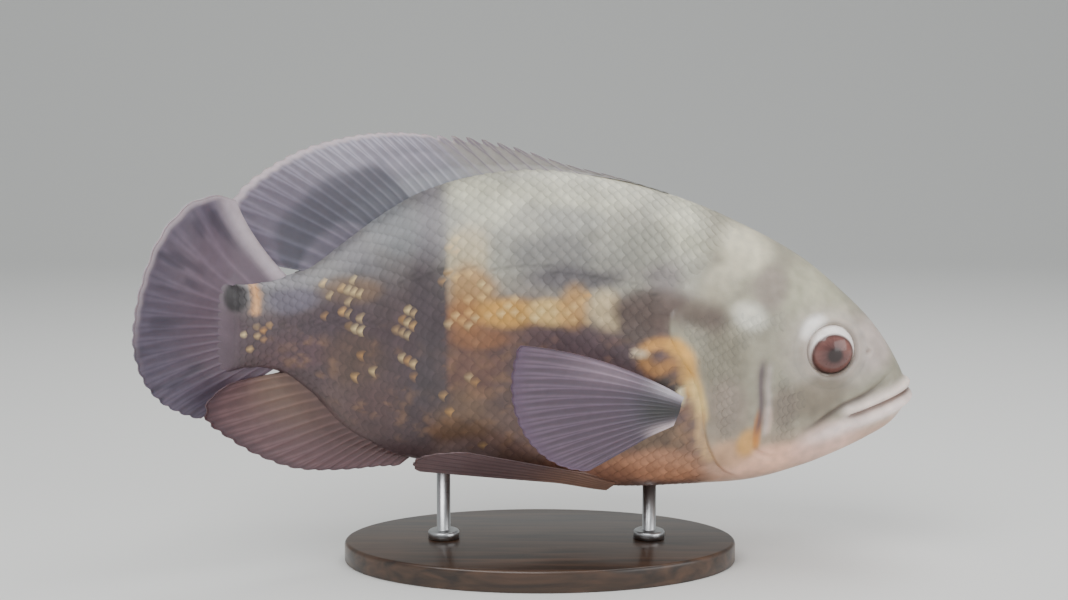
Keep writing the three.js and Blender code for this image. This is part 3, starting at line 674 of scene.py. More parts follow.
def makeEye(name, side):
    # ball by two angles, flattened and leaning forward; the paint follows the distance from its axis
    a, t = grid(np.linspace(0, math.pi, eyes["rings"]), turnOf(eyes["segments"]))
    radius, depth = head["eyeRadius"], head["eyeDepth"]
    x, z = radius * np.sin(a) * np.cos(t), radius * np.sin(a) * np.sin(t)
    y = side * depth * np.cos(a)
    lean = -eyes["tilt"] * side
    px = x * math.cos(lean) - y * math.sin(lean)
    py = x * math.sin(lean) + y * math.cos(lean)
    s = np.array(fish["snoutX"] - head["eyeX"])
    halfWidth = bodySurface(s, angleAt(s, head["eyeZ"], 1))[1]
    centreY = side * (halfWidth + head["eyeBulge"] - depth)
    points = np.stack([px + head["eyeX"], py + centreY, z + head["eyeZ"]], -1)
    out = np.hypot(x, (z + eyes["irisLow"]) * 1.04)
    pupil, iris = eyes["pupil"], eyes["iris"]
    fleck = 0.86 + 0.28 * blotch(np.arctan2(z, x) * 9, out * 0.5, 1, 1)
    colour = tinted(linear(eyes["innerTone"]), eyes["outerTone"], smooth(pupil, iris, out))
    colour = colour * fleck[..., None]
    # painted highlight: the front of the iris lightened towards a warm red-brown
    colour = tinted(colour, eyes["irisHighlightTone"], 0.2 * bump(x, 5, 2.6) * bump(z, 1.5, 3))
    colour = mix(linear(eyes["pupilTone"]), colour, smooth(pupil - 0.7, pupil + 1.1, out)[..., None])
    colour = tinted(colour, eyes["edgeTone"], 0.7 * bump(out, iris - 0.2, 0.5))
    colour = tinted(colour, eyes["whiteTone"], smooth(iris - 0.1, iris + 0.7, out))
    faces = gridFaces(eyes["rings"], eyes["segments"], closed=True)
    return makeMesh(name, points, faces[:, ::-1] if side < 0 else faces, colour)


eyeFinish = paintedMaterial("wetEye", {
    "mottleScale": 600, "mottle": 0.12, "roughness": 0.3, "shine": 0.3, "grainScale": 2000, "grain": 0.0,
    "grainDepth": 0.0001, "coat": 0.7, "coatRoughness": 0.1, "soft": 0.0,
})
for label, side in (("left", 1), ("right", -1)):
    finishPiece(makeEye(f"eyeBall_{label}", side), eyeFinish, "eye", f"eye_{label}")
print("eyes made")

# Scales: closed thin plates in staggered rows, each rooted under the one ahead of it
scales = {
    "pitch": 4.8, "headPitch": 3.5, "length": 1.5, "width": 1.14, "curve": 0.3, "lift": 0.3, "sunk": 0.15,
    "thickness": 0.17, "dome": 0.09, "alongSteps": 4, "acrossSteps": 5, "body": (56.0, 258.0),
    "cheek": (36.0, 92.0), "cheekStrength": 0.78, "seed": 5, "fleckTones": ((206, 146, 66), (240, 212, 150)),
}
# gold and pale flecks: middle, half sizes and how many scales in ten carry one
fleckPlaces = [
    (-48.4, 93, 4, 10, 9), (-47.3, 76, 3, 4, 8), (-12, 97, 10, 6, 6), (3, 98, 7, 4, 6),
    (-26, 97, 8, 7, 4), (14, 100, 6, 7, 4), (-69.4, 107, 5, 3, 8), (-74, 104, 11, 5, 3),
    (-69.7, 94, 6, 6, 3), (-107.5, 90, 4, 5, 7), (-99, 88, 8, 6, 3), (-30, 118, 6, 13, 3),
    (-26, 62, 13, 14, 2), (-60, 84, 14, 12, 1.2), (-66, 78, 4, 4, 5),
]


def scaleRoots(side, pitch, reach):
    # staggered places, as distance behind the snout, angle round the section and size, closer at the tail
    places = []
    angles = np.linspace(0, math.pi, 400)
    for number, s in enumerate(np.arange(*reach, pitch / 2)):
        ring = bodySurface(np.full(len(angles), s), angles)
        girth = np.concatenate([[0], np.cumsum(np.linalg.norm(np.diff(ring, axis=0), axis=1))])
        size = pitch * mix(1, 0.7, smooth(205, 248, s)) * mix(1, 0.75, smooth(248, 262, s))
        offsets = np.arange(0.35 * size + (number % 2) * size / 2, girth[-1] - 0.25 * size, size)
        angle = side * np.interp(offsets, girth, angles)
        places.append(np.column_stack(np.broadcast_arrays(s, angle, size)))
    return np.concatenate(places)


def sideView(roots):
    # forward place and level of each root
    return fish["snoutX"] - roots[:, 0], bodySurface(roots[:, 0], roots[:, 1])[:, 2]


def chosenRoots(side):
    # large scales on flank and nape, small ones on gill cover and cheek, fading out with the room to their
    # borders; a row is place, angle, size, strength, and 1 on the body or 0 on the head
    flank = scaleRoots(side, scales["pitch"], scales["body"])
    x, z = sideView(flank)
    gill = lineDistance(x, z, gillCurve)[0]
    above = np.minimum(mix(62, 84, smooth(104, 134, z)) - x, (z - 100) * 0.8)
    beside = np.where((x < 64) & (z < 100), gill - 0.4, -9)
    below = np.where(z < 46, 66 - x, -9)
    room = np.maximum(np.maximum(above, beside), np.where(x < 44, 20, below))
    ahead = mix(smooth(-1, 3, room), smooth(0, 13, room), np.where(x > 40, smooth(88, 98, z), 1))
    ahead = ahead * (1 - 0.9 * smooth(248, 262, flank[:, 0]))
    flank = np.column_stack([flank, ahead, np.ones(len(flank))])[room > 0]
    small = scaleRoots(side, scales["headPitch"], scales["cheek"])
    x, z = sideView(small)
    gill, cheek, fold = (lineDistance(x, z, curve)[0] for curve in (gillCurve, cheekCurve, foldCurve))
    room = [-gill - 2.5, np.abs(cheek) - 2.8, (102 - z) * 0.8, (z - 44) * 0.8, fromEye(x, z) - 13, 104 - x]
    room = np.minimum(np.min(room, axis=0), np.where(x > 96, fold - 3, 99))
    strength = smooth(0, 8, room) * scales["cheekStrength"]
    small = np.column_stack([small, strength, np.zeros(len(small))])[room > 0]
    return np.concatenate([flank, small])


def makeScales(name, side):
    # each scale: the skin's surface raised towards the free edge and along its middle, in an outline that is
    # straight at the root and an arc at the free edge, with a lower side one thickness down
    roots = chosenRoots(side)
    count = len(roots)
    draw = np.random.default_rng(scales["seed"] + (side < 0))
    rootS, rootAngle, size, strength, onBody = (column[:, None, None] for column in roots.T)
    size = size * draw.uniform(0.96, 1.04, (count, 1, 1))
    n, m = scales["alongSteps"], scales["acrossSteps"]
    a, b = grid(np.linspace(0, 1, n), np.linspace(-1, 1, m))
    jitter = draw.uniform(-0.04, 0.04, (count, 1, 1))
    behind = size * (scales["length"] * (a - 0.42) - scales["curve"] * b * b * a * a + jitter)
    s = np.minimum(rootS + behind, fish["skinEnd"] - 1)
    across = size * scales["width"] * 0.5 * b * (1 - 0.14 * a)
    step = bodySurface(roots[:, 0], roots[:, 1] + 0.01) - bodySurface(roots[:, 0], roots[:, 1] - 0.01)
    girthRate = (np.linalg.norm(step, axis=1) / 0.02)[:, None, None]
    angle = rootAngle + side * across / girthRate
    x, z = fish["snoutX"] - s, bodySurface(s, angle)[..., 2]
    lift = strength * (scales["lift"] * a + scales["dome"] * (1 - b * b)) - scales["sunk"]
    top = relief(x, z, 1 - onBody) - fish["skinDepth"] + lift
    upper, lower = (skinPoints(s, angle, height) for height in (top, top - scales["thickness"]))
    tone = paint(s, z) * (1 + strength[..., None] * draw.uniform(-0.08, 0.12, (count, 1, 1, 1)))
    tone = flecked(roots, tone, a, b, draw)
    # darker towards each scale's free edge and its sides
    tone = tone * (1 - strength * (0.22 * smooth(0.66, 1.0, a) + 0.08 * b * b))[..., None]
    # the upper side has points of its own, so that no dark rim is shaded into it
    points = np.concatenate([layer.reshape(count, -1, 3) for layer in (upper, upper, lower)], axis=1)
    colours = np.concatenate([tone.reshape(count, -1, 3)] * 3, axis=1)
    plate = plateFaces(n, m)
    plate[(n - 1) * (m - 1):] += n * m
    plate = plate[:, ::-1] if side < 0 else plate
    faces = (plate[None] + (np.arange(count) * 3 * n * m)[:, None, None]).reshape(-1, 4)
    # each scale has a small patch of its own at its root's place on the skin's unwrap
    u = 0.05 + 0.9 * roots[:, :1] / fish["skinEnd"] + 0.003 * (a.ravel() - 0.5)
    v = 0.05 + 0.9 * np.abs(roots[:, 1:2]) / math.pi + 0.0015 * b.ravel()
    uvs = np.tile(np.stack([u, v], -1), (1, 3, 1)).reshape(-1, 2)
    return makeMesh(name, points, faces, colours, uvs), count


def plateFaces(n, m):
    # a closed plate: upper grid, lower grid turned over, and a wall round the rim
    upper = gridFaces(n, m)[:, ::-1]
    lower = gridFaces(n, m) + n * m
    ring = np.concatenate([np.arange(m), np.arange(1, n) * m + m - 1, (n - 1) * m + np.arange(m - 2, -1, -1),
                           np.arange(n - 2, 0, -1) * m])
    after = np.roll(ring, -1)
    wall = np.stack([ring, after, after + n * m, ring + n * m], -1)
    return np.concatenate([upper, lower, wall[:, ::-1]])


def flecked(roots, tone, a, b, draw):
    # a gold or pale spot in the open part of the scales that chance picks, and a pore along the lateral line
    x, z = sideView(roots)
    chance = sum(share / 10 * bump(x, cx, rx) * bump(z, cz, rz) for cx, cz, rx, rz, share in fleckPlaces)
    picked = (draw.random(len(x)) < chance)[:, None, None, None]
    gold, pale = (linear(end) for end in scales["fleckTones"])
    gold = mix(gold, pale, draw.random((len(x), 1)))[:, None, None, :]
    spot = (bump(a, 0.74, 0.24) * bump(b, 0, 0.55))[None, ..., None]
    spot = spot * draw.uniform(0.4, 1, (len(x), 1, 1, 1))
    tone = np.where(picked, mix(tone, gold, spot), tone)
    fromLine = np.min([np.abs(lineDistance(x, z, smoothLine(line))[0]) for line in lateralLine], axis=0)
    onLine = (fromLine < scales["pitch"] * 0.26)[:, None, None, None]
    pore = (bump(a, 0.7, 0.2) * bump(b, 0, 0.3))[None, ..., None]
    return np.where(onLine, tone * (1 - 0.45 * pore), tone)


for label, side in (("left", 1), ("right", -1)):
    coat, count = makeScales(f"scaleCoat_{label}", side)
    finishPiece(coat, scaleFinish, "skin_flank")
    print("scales", label, count)

# Fins: a web between rays that branch towards the edge, thick and fleshy at the root
rayLook = {
    "width": 0.15, "branchAt": 0.38, "branchSpread": 0.2, "twigAt": 0.7, "twigSpread": 0.1, "stepsPerRay": 8,
    "notch": 0.7, "spineNotch": 3.6, "rootDepth": 2.5,
}


def finSheet(name, centre, rays, rows, thickness, colour):
    # the middle surface, from ray to ray and root to edge, moved each way along its normal by half the
    # thickness, and closed round the rim
    columns = rays * rayLook["stepsPerRay"] + 1
    u, v = grid(np.linspace(0, 1, columns), np.linspace(0, 1, rows))
    small = 0.25 / rays
    points = centre(u, v)
    alongU = centre(np.minimum(u + small, 1), v) - centre(np.maximum(u - small, 0), v)
    alongV = centre(u, np.minimum(v + 0.02, 1)) - centre(u, np.maximum(v - 0.02, 0))
    ray = rayPattern(u, v, rays)
    offset = unitNormal(alongU, alongV) * thickness(u, v, ray)[..., None]
    both = np.stack([points + offset, points - offset])
    faces = plateFaces(columns, rows)
    piece = makeMesh(name, both, faces, np.stack([colour(u, v, ray)] * 2))
    if signedVolume(both.reshape(-1, 3), faces) < 0:
        piece.data.flip_normals()
    return piece


def signedVolume(points, quads):
    # six times the volume inside the faces, below zero where they face inwards
    a, b, c, d = (points[quads[:, n]] for n in range(4))
    return (np.einsum("ij,ij->i", a, np.cross(b, c)) + np.einsum("ij,ij->i", a, np.cross(c, d))).sum()


def fromRay(u, rays):
    # place between two webs' middles, from -0.5 through 0 on the ray to 0.5
    return u * rays - np.floor(np.minimum(u * rays, rays - 1e-6)) - 0.5


def rayPattern(u, v, rays):
    # 1 on a ray and 0 between: each ray parts in two, and each half in two again
    branch = rayLook["branchSpread"] * smooth(rayLook["branchAt"], 1, v)
    twig = rayLook["twigSpread"] * smooth(rayLook["twigAt"], 1, v)
    width = rayLook["width"] * mix(1, 0.5, v)
    places = [a * branch + b * twig for a in (-1, 1) for b in (-1, 1)]
    return np.max([bump(fromRay(u, rays), place, width) for place in places], axis=0)


def finThickness(root, web, ray, edge):
    # half thickness: web to edge along the ray, more at the fleshy root, and a ridge that sinks outwards
    def half(u, v, on):
        flesh = (root - web) * (1 - smooth(0, 0.3, v))
        return mix(web, edge, v) + flesh + ray * (1 - 0.7 * v) * smooth(0, 0.2, v) * on
    return half


# root place behind the snout, edge x and z, swing out of the body's plane, bow of the ray
dorsalRows = np.array([
    [0, 94, 37.6, 143.9, 0, 0],
    [0.06, 106, 26.3, 147.2, 0, 0],
    [0.14, 122, 9.4, 151.4, 0, 0.02],
    [0.22, 137, -7.9, 157.2, 0, 0.03],
    [0.3, 151, -23.6, 160.9, 0, 0.03],
    [0.394, 164.5, -40.6, 162.3, 0, 0.04],
    [0.485, 176, -54.3, 163.3, 0, 0.05],
    [0.606, 188, -70.2, 162, 0, 0.07],
    [0.727, 199, -87.4, 157.4, -3, 0.09],
    [0.836, 209, -102.4, 149.3, -8, 0.09],
    [0.909, 215.5, -112.2, 140.8, -11, 0.07],
    [0.945, 220.5, -114.4, 133.8, -14, 0.04],
    [0.976, 226, -109.5, 124.3, -16, 0.02],
    [1, 231, -100.6, 114.6, -16, 0],
])
analRows = np.array([
    [0, 190, -54.3, 36.3, 0, 0],
    [0.1, 194, -61.1, 36.3, 0, 0.02],
    [0.28, 202, -76, 35.7, 2, 0.05],
    [0.46, 210, -91.9, 37.8, 7, 0.08],
    [0.62, 217, -105, 45.1, 12, 0.09],
    [0.76, 223.5, -114.7, 54.7, 17, 0.07],
    [0.86, 229, -119.2, 61.6, 20, 0.05],
    [0.93, 234, -117.9, 68.2, 22, 0.02],
    [1, 239, -112.5, 73, 24, 0],
])
medianFins = {
    "dorsalRays": 33, "spines": 13, "analRays": 18, "rows": 44,
    "root": 2.2, "web": 0.32, "ray": 0.3, "edge": 0.2,
}
spineShare = medianFins["spines"] / medianFins["dorsalRays"]


def notchBetween(u, rays, depth):
    # the web's edge falls back between rays by this many millimetres
    return depth * smooth(0.1, 0.5, np.abs(fromRay(u, rays)))


def medianCentre(rows, rays, upper, notch):
    # straight rays from the back or belly line to the edge's rows, bowed and swung aside as they go out
    def centre(u, v):
        rootS, edgeX, edgeZ, swing, bow = curveAt(rows, u)
        back, belly = station(rootS)[:2]
        x0, y0, turned = spine(rootS)
        z0 = back if upper else belly
        dx, dz = edgeX - x0, edgeZ - z0
        length = np.hypot(dx, dz)
        t = mix(-rayLook["rootDepth"] / length, 1 - notch(u, rays) / length, v)
        onward = np.clip(t, 0, 1)
        heading = turned + np.radians(swing) * onward
        x = x0 + dx * t
        z = z0 + dz * t + (1 if upper else -1) * bow * length * onward * (1 - onward)
        return np.stack([x, y0 + (x - x0) * np.tan(heading), z], -1)
    return centre


def webNotch(u, rays):
    # the shallow notches of a soft fin's edge
    return notchBetween(u, rays, rayLook["notch"])


def dorsalNotch(u, rays):
    # deep notches between the spines, shallow ones behind them
    spiny = 1 - smooth(spineShare - 0.02, spineShare + 0.02, u)
    return mix(webNotch(u, rays), notchBetween(u, rays, rayLook["spineNotch"]), spiny)


def veined(tone, ray, web=0.8, crest=1.2):
    # darker in the web and lighter on the rays
    return tone * mix(web, crest, ray)[..., None]


dorsalTones = {
    "root": (140, 140, 148), "outer": (158, 154, 168), "rear": (88, 78, 96), "blotch": (72, 72, 84),
    "spineWeb": (150, 146, 138), "spine": (108, 94, 104), "rim": (206, 192, 198),
}


def dorsalColour(u, v, ray):
    # greyish between the spines, violet grey behind, dark blotches low down and a pale rim
    tone = tinted(linear(dorsalTones["root"]), dorsalTones["outer"], smooth(0.1, 0.6, v))
    tone = tinted(tone, dorsalTones["rear"], 0.8 * smooth(0.66, 0.9, u))
    low = (1 - smooth(0.45, 0.8, v)) * smooth(0.36, 0.5, u)
    blotches = smooth(0.5, 0.75, blotch(u * 90, v * 22, 9, 2)) * low
    tone = veined(tinted(tone, dorsalTones["blotch"], 0.75 * blotches), ray, 0.76)
    spiny = tinted(linear(dorsalTones["spineWeb"]), dorsalTones["spine"], smooth(0.3, 0.9, ray))
    tone = mix(tone, spiny, (0.85 * (1 - smooth(0.34, 0.46, u)))[..., None])
    return tinted(tone, dorsalTones["rim"], 0.85 * smooth(0.91, 0.97, v) * smooth(0.3, 0.44, u))


caudalTones = {
    "root": (96, 78, 92), "outer": (94, 86, 102), "upper": (124, 108, 122), "streak": (56, 52, 66),
    "rim": (196, 182, 190),
}


def caudalColour(u, v, ray):
    # dark plum, bluer between the rays, with a pale rim that widens along the upper edge
    tone = tinted(linear(caudalTones["root"]), caudalTones["outer"], smooth(0.3, 0.85, v))
    upper = 0.7 * bump(u, 0.85, 0.14) * bump(v, 0.5, 0.35)
    tone = veined(tinted(tone, caudalTones["upper"], upper), ray, 0.82, 1.12)
    streak = smooth(0.55, 0.8, blotch(u * 60, v * 6, 1.6, 0)) * smooth(0.35, 0.6, v)
    tone = tinted(tone, caudalTones["streak"], 0.55 * streak)
    rim = 0.8 * smooth(0.93, 0.985, v) * smooth(0.3, 0.85, u)
    return tinted(tone, caudalTones["rim"], np.maximum(rim, 0.75 * smooth(0.95, 0.99, u)))


analTones = {"root": (94, 70, 70), "outer": (104, 78, 82), "ochre": (134, 106, 84), "edge": (70, 54, 62)}


def analColour(u, v, ray):
    # ochre brown by the root at the rear, plum towards a dark edge
    tone = tinted(linear(analTones["root"]), analTones["outer"], smooth(0.1, 0.7, v))
    tone = tinted(tone, analTones["ochre"], 0.5 * smooth(0.5, 0.95, u) * bump(v, 0.35, 0.3))
    return tinted(veined(tone, ray, 0.78, 1.18), analTones["edge"], 0.7 * smooth(0.82, 1, v))


pectoralTones = {
    "root": (76, 68, 82), "outer": (86, 70, 86), "sheen": (160, 138, 154), "rootShade": (46, 46, 46),
    "upperRootHighlight": (196, 188, 198), "lowerRootHighlight": (212, 192, 196), "edge": (88, 66, 92),
}


def pectoralColour(u, v, ray):
    # violet web with lighter rays and a painted sheen over the upper rays, black-green painted shade at the
    # root, and pale painted highlights at the root's upper and lower ends
    tone = tinted(linear(pectoralTones["root"]), pectoralTones["outer"], smooth(0.15, 0.5, v))
    tone = tinted(tone, pectoralTones["sheen"], 0.6 * bump(u, 0.92, 0.12) * bump(v, 0.42, 0.26))
    tone = veined(tone, ray, 0.78, 1.36)
    # painted shade where the fin's root meets the body, then pale painted highlights at the root's two ends
    tone = tinted(tone, pectoralTones["rootShade"], 0.9 * bump(u, 0.5, 0.3) * (1 - smooth(0.14, 0.34, v)))
    tone = tinted(tone, pectoralTones["upperRootHighlight"], 0.9 * bump(u, 0.97, 0.14) * (1 - smooth(0.08, 0.3, v)))
    tone = tinted(tone, pectoralTones["lowerRootHighlight"], 0.9 * bump(u, 0.02, 0.16) * (1 - smooth(0.12, 0.36, v)))
    return tinted(tone, pectoralTones["edge"], 0.5 * smooth(0.9, 1, v))


pelvicTones = {"root": (140, 108, 94), "outer": (104, 84, 86)}


def pelvicColour(u, v, ray):
    # pinkish brown at the root, greyer outwards
    tone = tinted(linear(pelvicTones["root"]), pelvicTones["outer"], smooth(0.1, 0.6, v))
    return veined(tone, ray, 0.78, 1.24)


medianThickness = finThickness(*(medianFins[part] for part in ("root", "web", "ray", "edge")))
rays, rows = medianFins["dorsalRays"], medianFins["rows"]
dorsalCentre = medianCentre(dorsalRows, rays, True, dorsalNotch)
dorsal = finSheet("dorsalFin", dorsalCentre, rays, rows, medianThickness, dorsalColour)
finishPiece(dorsal, finFinish, "fin_back", "dorsal_fin_spiny", "dorsal_fin_soft")
rays = medianFins["analRays"]
analCentre = medianCentre(analRows, rays, False, webNotch)
anal = finSheet("analFin", analCentre, rays, rows, medianThickness, analColour)
finishPiece(anal, finFinish, "fin_belly", "anal_fin")

# tail fin: each row gives a ray's root and tip, behind the body's end and above its middle, and its bow
caudalRows = np.array([
    [0, -11, -15.2, 17, -32, 0],
    [0.1, -6, -13, 24, -29, 0],
    [0.22, -2.5, -9.6, 33, -23.5, 0],
    [0.35, 0, -5.8, 42, -14, 0],
    [0.48, 0, -2, 48, -2, 0],
    [0.6, 0, 2.2, 48.8, 9, 0],
    [0.72, 0, 6.5, 46.3, 22, 0],
    [0.83, -1, 10.5, 39, 36.5, 0],
    [0.92, -5.5, 14.4, 25.5, 47.3, 0.3],
    [0.97, -12, 16.6, 12.5, 49.3, 1],
    [1, -18, 17.2, 3, 47.8, 2.2],
])
tail = {
    "rays": 17, "rows": 52, "rootDepth": 3,
    "middle": 3.4, "ends": 0.8, "web": 0.34, "ray": 0.3, "edge": 0.22,
}


def caudalCentre(u, v):
    # straight rays from root to tip in the tail's own unbent plane, bowed a little, then bent with the spine
    rootBehind, rootAbove, tipBehind, tipAbove, bow = curveAt(caudalRows, u)
    length = np.hypot(tipBehind - rootBehind, tipAbove - rootAbove)
    t = mix(-tail["rootDepth"] / length, 1 - webNotch(u, tail["rays"]) / length, v)
    onward = np.clip(t, 0, 1)
    behind = mix(rootBehind, tipBehind, t) + 4 * bow * onward * (1 - onward)
    return placed(fish["length"] + behind, 0, fish["tailMiddle"] + mix(rootAbove, tipAbove, t))


def caudalThickness(u, v, on):
    # as the other fins, with a root that is thickest in the middle
    root = mix(tail["middle"], tail["ends"], (2 * u - 1) ** 2)
    return finThickness(root, tail["web"], tail["ray"], tail["edge"])(u, v, on)


caudal = finSheet("tailFin", caudalCentre, tail["rays"], tail["rows"], caudalThickness, caudalColour)
finishPiece(caudal, finFinish, "fin_tail", "caudal_fin")

fanLook = {"rows": 44, "notch": 0.6, "web": 0.3, "ray": 0.28, "edge": 0.2}
pectoral = {
    "x": 47.6, "y": 25, "z": 62.3, "length": 71, "fall": 0.49, "longestAt": 0.9, "lowest": -21,
    "highest": 18, "spread": 32, "rootHeight": 13, "rootSlant": 0.31, "sunk": 3, "tilt": 0.1,
    "cup": -0.0013, "arch": 0.2, "rays": 14, "root": 1.5,
}
pelvic = {
    "x": 23, "y": 9, "z": 32.2, "length": 70, "fall": 0.24, "longestAt": 0.3, "lowest": 7, "highest": 14,
    "spread": 4, "rootHeight": 4.2, "rootSlant": 0.9, "sunk": 4, "tilt": 1.1, "cup": -0.0004, "arch": 0,
    "rays": 6, "root": 1.8,
}


def fanCentre(fin, side):
    # rays leave a short root at angles from the lowest to the highest, swung out from the body
    def centre(u, v):
        angle = np.radians(mix(fin["lowest"], fin["highest"], u))
        off = np.abs(u - fin["longestAt"]) / max(fin["longestAt"], 1 - fin["longestAt"])
        length = fin["length"] * (1 - fin["fall"] * off ** 2)
        length = length - notchBetween(u, fin["rays"], fanLook["notch"])
        out = math.radians(fin["spread"])
        along = mix(-fin["sunk"], length, v)
        level = along * np.cos(angle)
        rootShift = mix(-0.5, 0.5, u) * fin["rootHeight"]
        x = fin["x"] - level * math.cos(out) + rootShift * fin["rootSlant"]
        arch = fin["arch"] * u * along * (1 - np.clip(along / length, 0, 1))
        z = fin["z"] + along * np.sin(angle) + rootShift + arch
        cupped = fin["cup"] * np.maximum(0, along) ** 2
        y = fin["y"] + level * math.sin(out) + fin["tilt"] * (z - fin["z"]) + cupped
        return np.stack([x, side * y, z], -1)
    return centre


pairedFins = (
    (pectoral, "sideFin", "fin_side", "pectoral_fin", pectoralColour),
    (pelvic, "bellyFin", "fin_belly", "pelvic_fin", pelvicColour),
)
for label, side in (("left", 1), ("right", -1)):
    for fin, name, slot, node, colour in pairedFins:
        thickness = finThickness(fin["root"], fanLook["web"], fanLook["ray"], fanLook["edge"])
        centre = fanCentre(fin, side)
        piece = finSheet(f"{name}_{label}", centre, fin["rays"], fanLook["rows"], thickness, colour)
        finishPiece(piece, finFinish, slot, f"{node}_{label}")
print("fins made")

# Display stand: an oval wooden base with a rounded edge, and two steel rods with collars
stand = {
    "length": 150, "width": 92, "height": 8, "edge": 1.4, "bevel": 0.6, "segments": 160,
    "rodRadius": 2.6, "collarRadius": 6, "collarHeight": 3, "gap": 0.3, "front": 42, "rear": -37,
}


def lathe(name, profile, ratio, segments, centre):
    # a profile of (radius, height) carried round an oval of this width to length, closed on its axis
    turn = turnOf(segments)
    radius, height = np.array(profile, float).T[:, :, None]
    points = stacked(centre + radius * np.cos(turn), radius * ratio * np.sin(turn), height)
    return makeMesh(name, points, gridFaces(len(profile), segments, closed=True))


def edgeArc(radius, height, edge):
    # a quarter circle that rounds off an upper edge
    a = np.linspace(0, math.pi / 2, 6)
    return [(radius - edge + edge * math.cos(t), height - edge + edge * math.sin(t)) for t in a]


def woodMaterial():
    # a noise drawn out along the base as grain, in two browns, with low bumps under varnish
    material, shader, add, join = startMaterial("darkWood")
    stretch = add("Mapping", Scale=(18, 210, 210))
    grain = add("TexNoise", Scale=1, Detail=8, Distortion=0.6)
    ramp = add("ValToRGB")
    dark, light = ramp.color_ramp.elements
    dark.position, dark.color = 0.35, (0.018, 0.009, 0.005, 1)
    light.position, light.color = 0.68, (0.085, 0.042, 0.022, 1)
    join(add("TexCoord").outputs["Object"], stretch.inputs["Vector"])
    join(stretch.outputs["Vector"], grain.inputs["Vector"])
    join(grain.outputs["Fac"], ramp.inputs["Fac"])
    join(ramp.outputs["Color"], shader.inputs["Base Color"])
    bumpsOf(add, join, grain.outputs["Fac"], 0.25, 0.0002, shader)
    setInputs(shader, {"Roughness": 0.38, "Coat Weight": 0.35, "Coat Roughness": 0.15})
    return material


def steelMaterial():
    # bare metal, its gloss varied in fine rings by a noise pressed flat along the rod
    material, shader, add, join = startMaterial("brushedSteel")
    stretch = add("Mapping", Scale=(300, 300, 6000))
    lines = add("TexNoise", Scale=1)
    join(add("TexCoord").outputs["Object"], stretch.inputs["Vector"])
    join(stretch.outputs["Vector"], lines.inputs["Vector"])
    join(rangeOf(add, join, lines.outputs["Fac"], 0.22, 0.42), shader.inputs["Roughness"])
    setInputs(shader, {"Base Color": (0.56, 0.57, 0.58, 1), "Metallic": 1})
    return material


def makeBase():
    # an oval plate with a small bevel below and a rounded edge above
    half, height, bevel = stand["length"] / 2, stand["height"], stand["bevel"]
    profile = [(0, 0), (half - bevel, 0), (half, bevel), *edgeArc(half, height, stand["edge"]), (0, height)]
    return lathe("standBase", profile, stand["width"] / stand["length"], stand["segments"], 0)


def makeRod(name, x):
    # a round rod up to the belly, with a rounded collar at its foot
    radius, wide, gap = stand["rodRadius"], stand["collarRadius"], stand["gap"]
    bottom = stand["height"] + gap
    top = float(station(np.array(fish["snoutX"] - x))[1]) - gap
    collar = bottom + stand["collarHeight"]
    profile = [(0, bottom), (wide, bottom)] + edgeArc(wide, collar, 1.0)
    profile += [(radius + 0.3, collar), (radius, collar + 0.3), (radius, top), (0, top)]
    return lathe(name, profile, 1, 48, x)


finishPiece(makeBase(), woodMaterial(), "stand_wood", "stand_base")
steel = steelMaterial()
for label in ("front", "rear"):
    finishPiece(makeRod(f"standRod_{label}", stand[label]), steel, "stand_steel", f"stand_rod_{label}")
print("stand made")

# Studio: a pale floor that curves up behind, large soft lights, and the camera of the photograph
studio = {
    "lens": 50, "sensor": 36, "distance": 0.5619, "elevation": 6.0, "target": (-0.00227, 0.0, 0.10008),
    "floorTone": (0.78, 0.78, 0.76), "skyTone": (0.9, 0.93, 0.95), "skyStrength": 0.55,
    # the floor's half width, front, start and radius of its turn, and top, in metres
    "floor": (6.0, -6.0, 1.4, 1.2, 3.0),
}
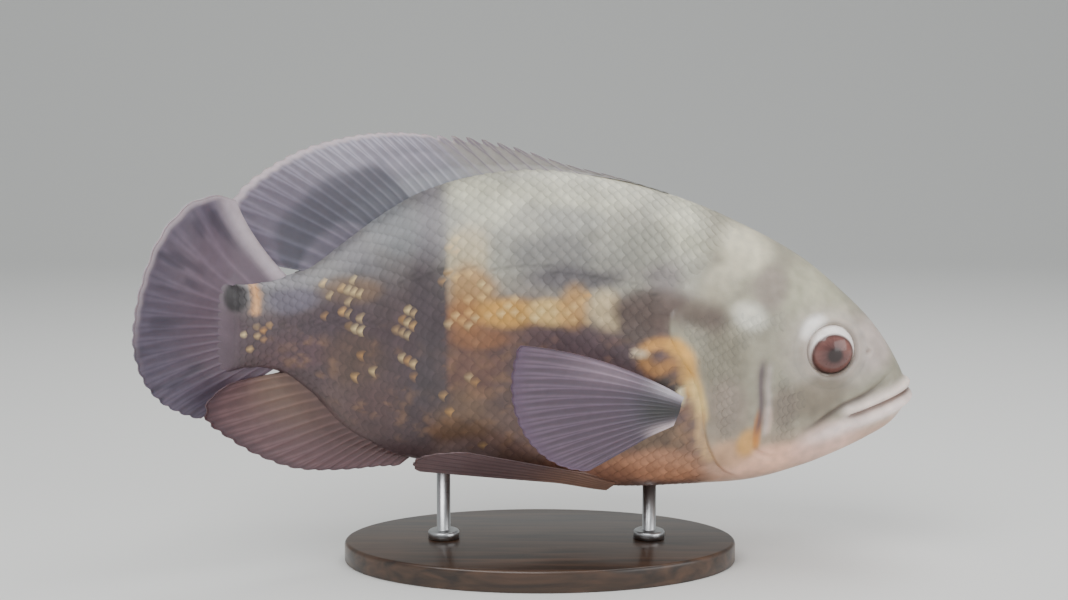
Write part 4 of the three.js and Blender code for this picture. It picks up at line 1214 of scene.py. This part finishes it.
# each light's power, size, place and aim
lights = {
    "keyLight": (9.0, (0.9, 0.6), (-0.35, -0.75, 0.95), (0, 0, 0.09)),
    "topLight": (7.0, (1.0, 0.7), (0.25, 0.1, 1.1), (0, 0, 0.09)),
    "fillLight": (4.2, (0.8, 0.6), (0.8, -0.6, 0.2), (0.04, 0, 0.08)),
}


def makeFloor():
    # flat in front, turning up in a quarter circle behind
    width, front, turnAt, radius, top = studio["floor"]
    bend = np.linspace(0, math.pi / 2, 24)
    y = np.concatenate([[front, turnAt], turnAt + radius * np.sin(bend[1:]), [turnAt + radius]])
    z = np.concatenate([[0, 0], radius * (1 - np.cos(bend[1:])), [top]])
    x = np.array([[-width], [width]])
    floor = makeMesh("studioFloor", stacked(x, y, z) / mm, gridFaces(2, len(y)))
    material, shader = startMaterial("paleFloor")[:2]
    setInputs(shader, {"Base Color": (*studio["floorTone"], 1), "Roughness": 0.9})
    floor.data.materials.append(material)


def addLight(name, power, size, place, aim):
    # a soft rectangle turned so that it faces its aim
    data = bpy.data.lights.new(name, "AREA")
    data.energy, data.shape = power, "RECTANGLE"
    data.size, data.size_y = size
    lamp = bpy.data.objects.new(name, data)
    bpy.context.scene.collection.objects.link(lamp)
    lamp.location = place
    dx, dy, dz = np.array(aim) - np.array(place)
    lamp.rotation_euler = (math.acos(-dz / math.sqrt(dx * dx + dy * dy + dz * dz)), 0, math.atan2(-dx, dy))


def addCamera():
    # off the fish's right side at the photograph's height, looking a little down on the target
    data = bpy.data.cameras.new("photoCamera")
    data.lens, data.sensor_width = studio["lens"], studio["sensor"]
    camera = bpy.data.objects.new("photoCamera", data)
    bpy.context.scene.collection.objects.link(camera)
    elevation, away = math.radians(studio["elevation"]), studio["distance"]
    x, y, z = studio["target"]
    camera.location = (x, y - away * math.cos(elevation), z + away * math.sin(elevation))
    camera.rotation_euler = (math.pi / 2 - elevation, 0, 0)
    bpy.context.scene.camera = camera


def addWorld():
    # an even pale sky
    world = bpy.data.worlds.new("softSky")
    world.use_nodes = True
    tone = {"Color": (*studio["skyTone"], 1), "Strength": studio["skyStrength"]}
    setInputs(world.node_tree.nodes["Background"], tone)
    bpy.context.scene.world = world


makeFloor()
addCamera()
addWorld()
for name, light in lights.items():
    addLight(name, *light)
print("studio made")
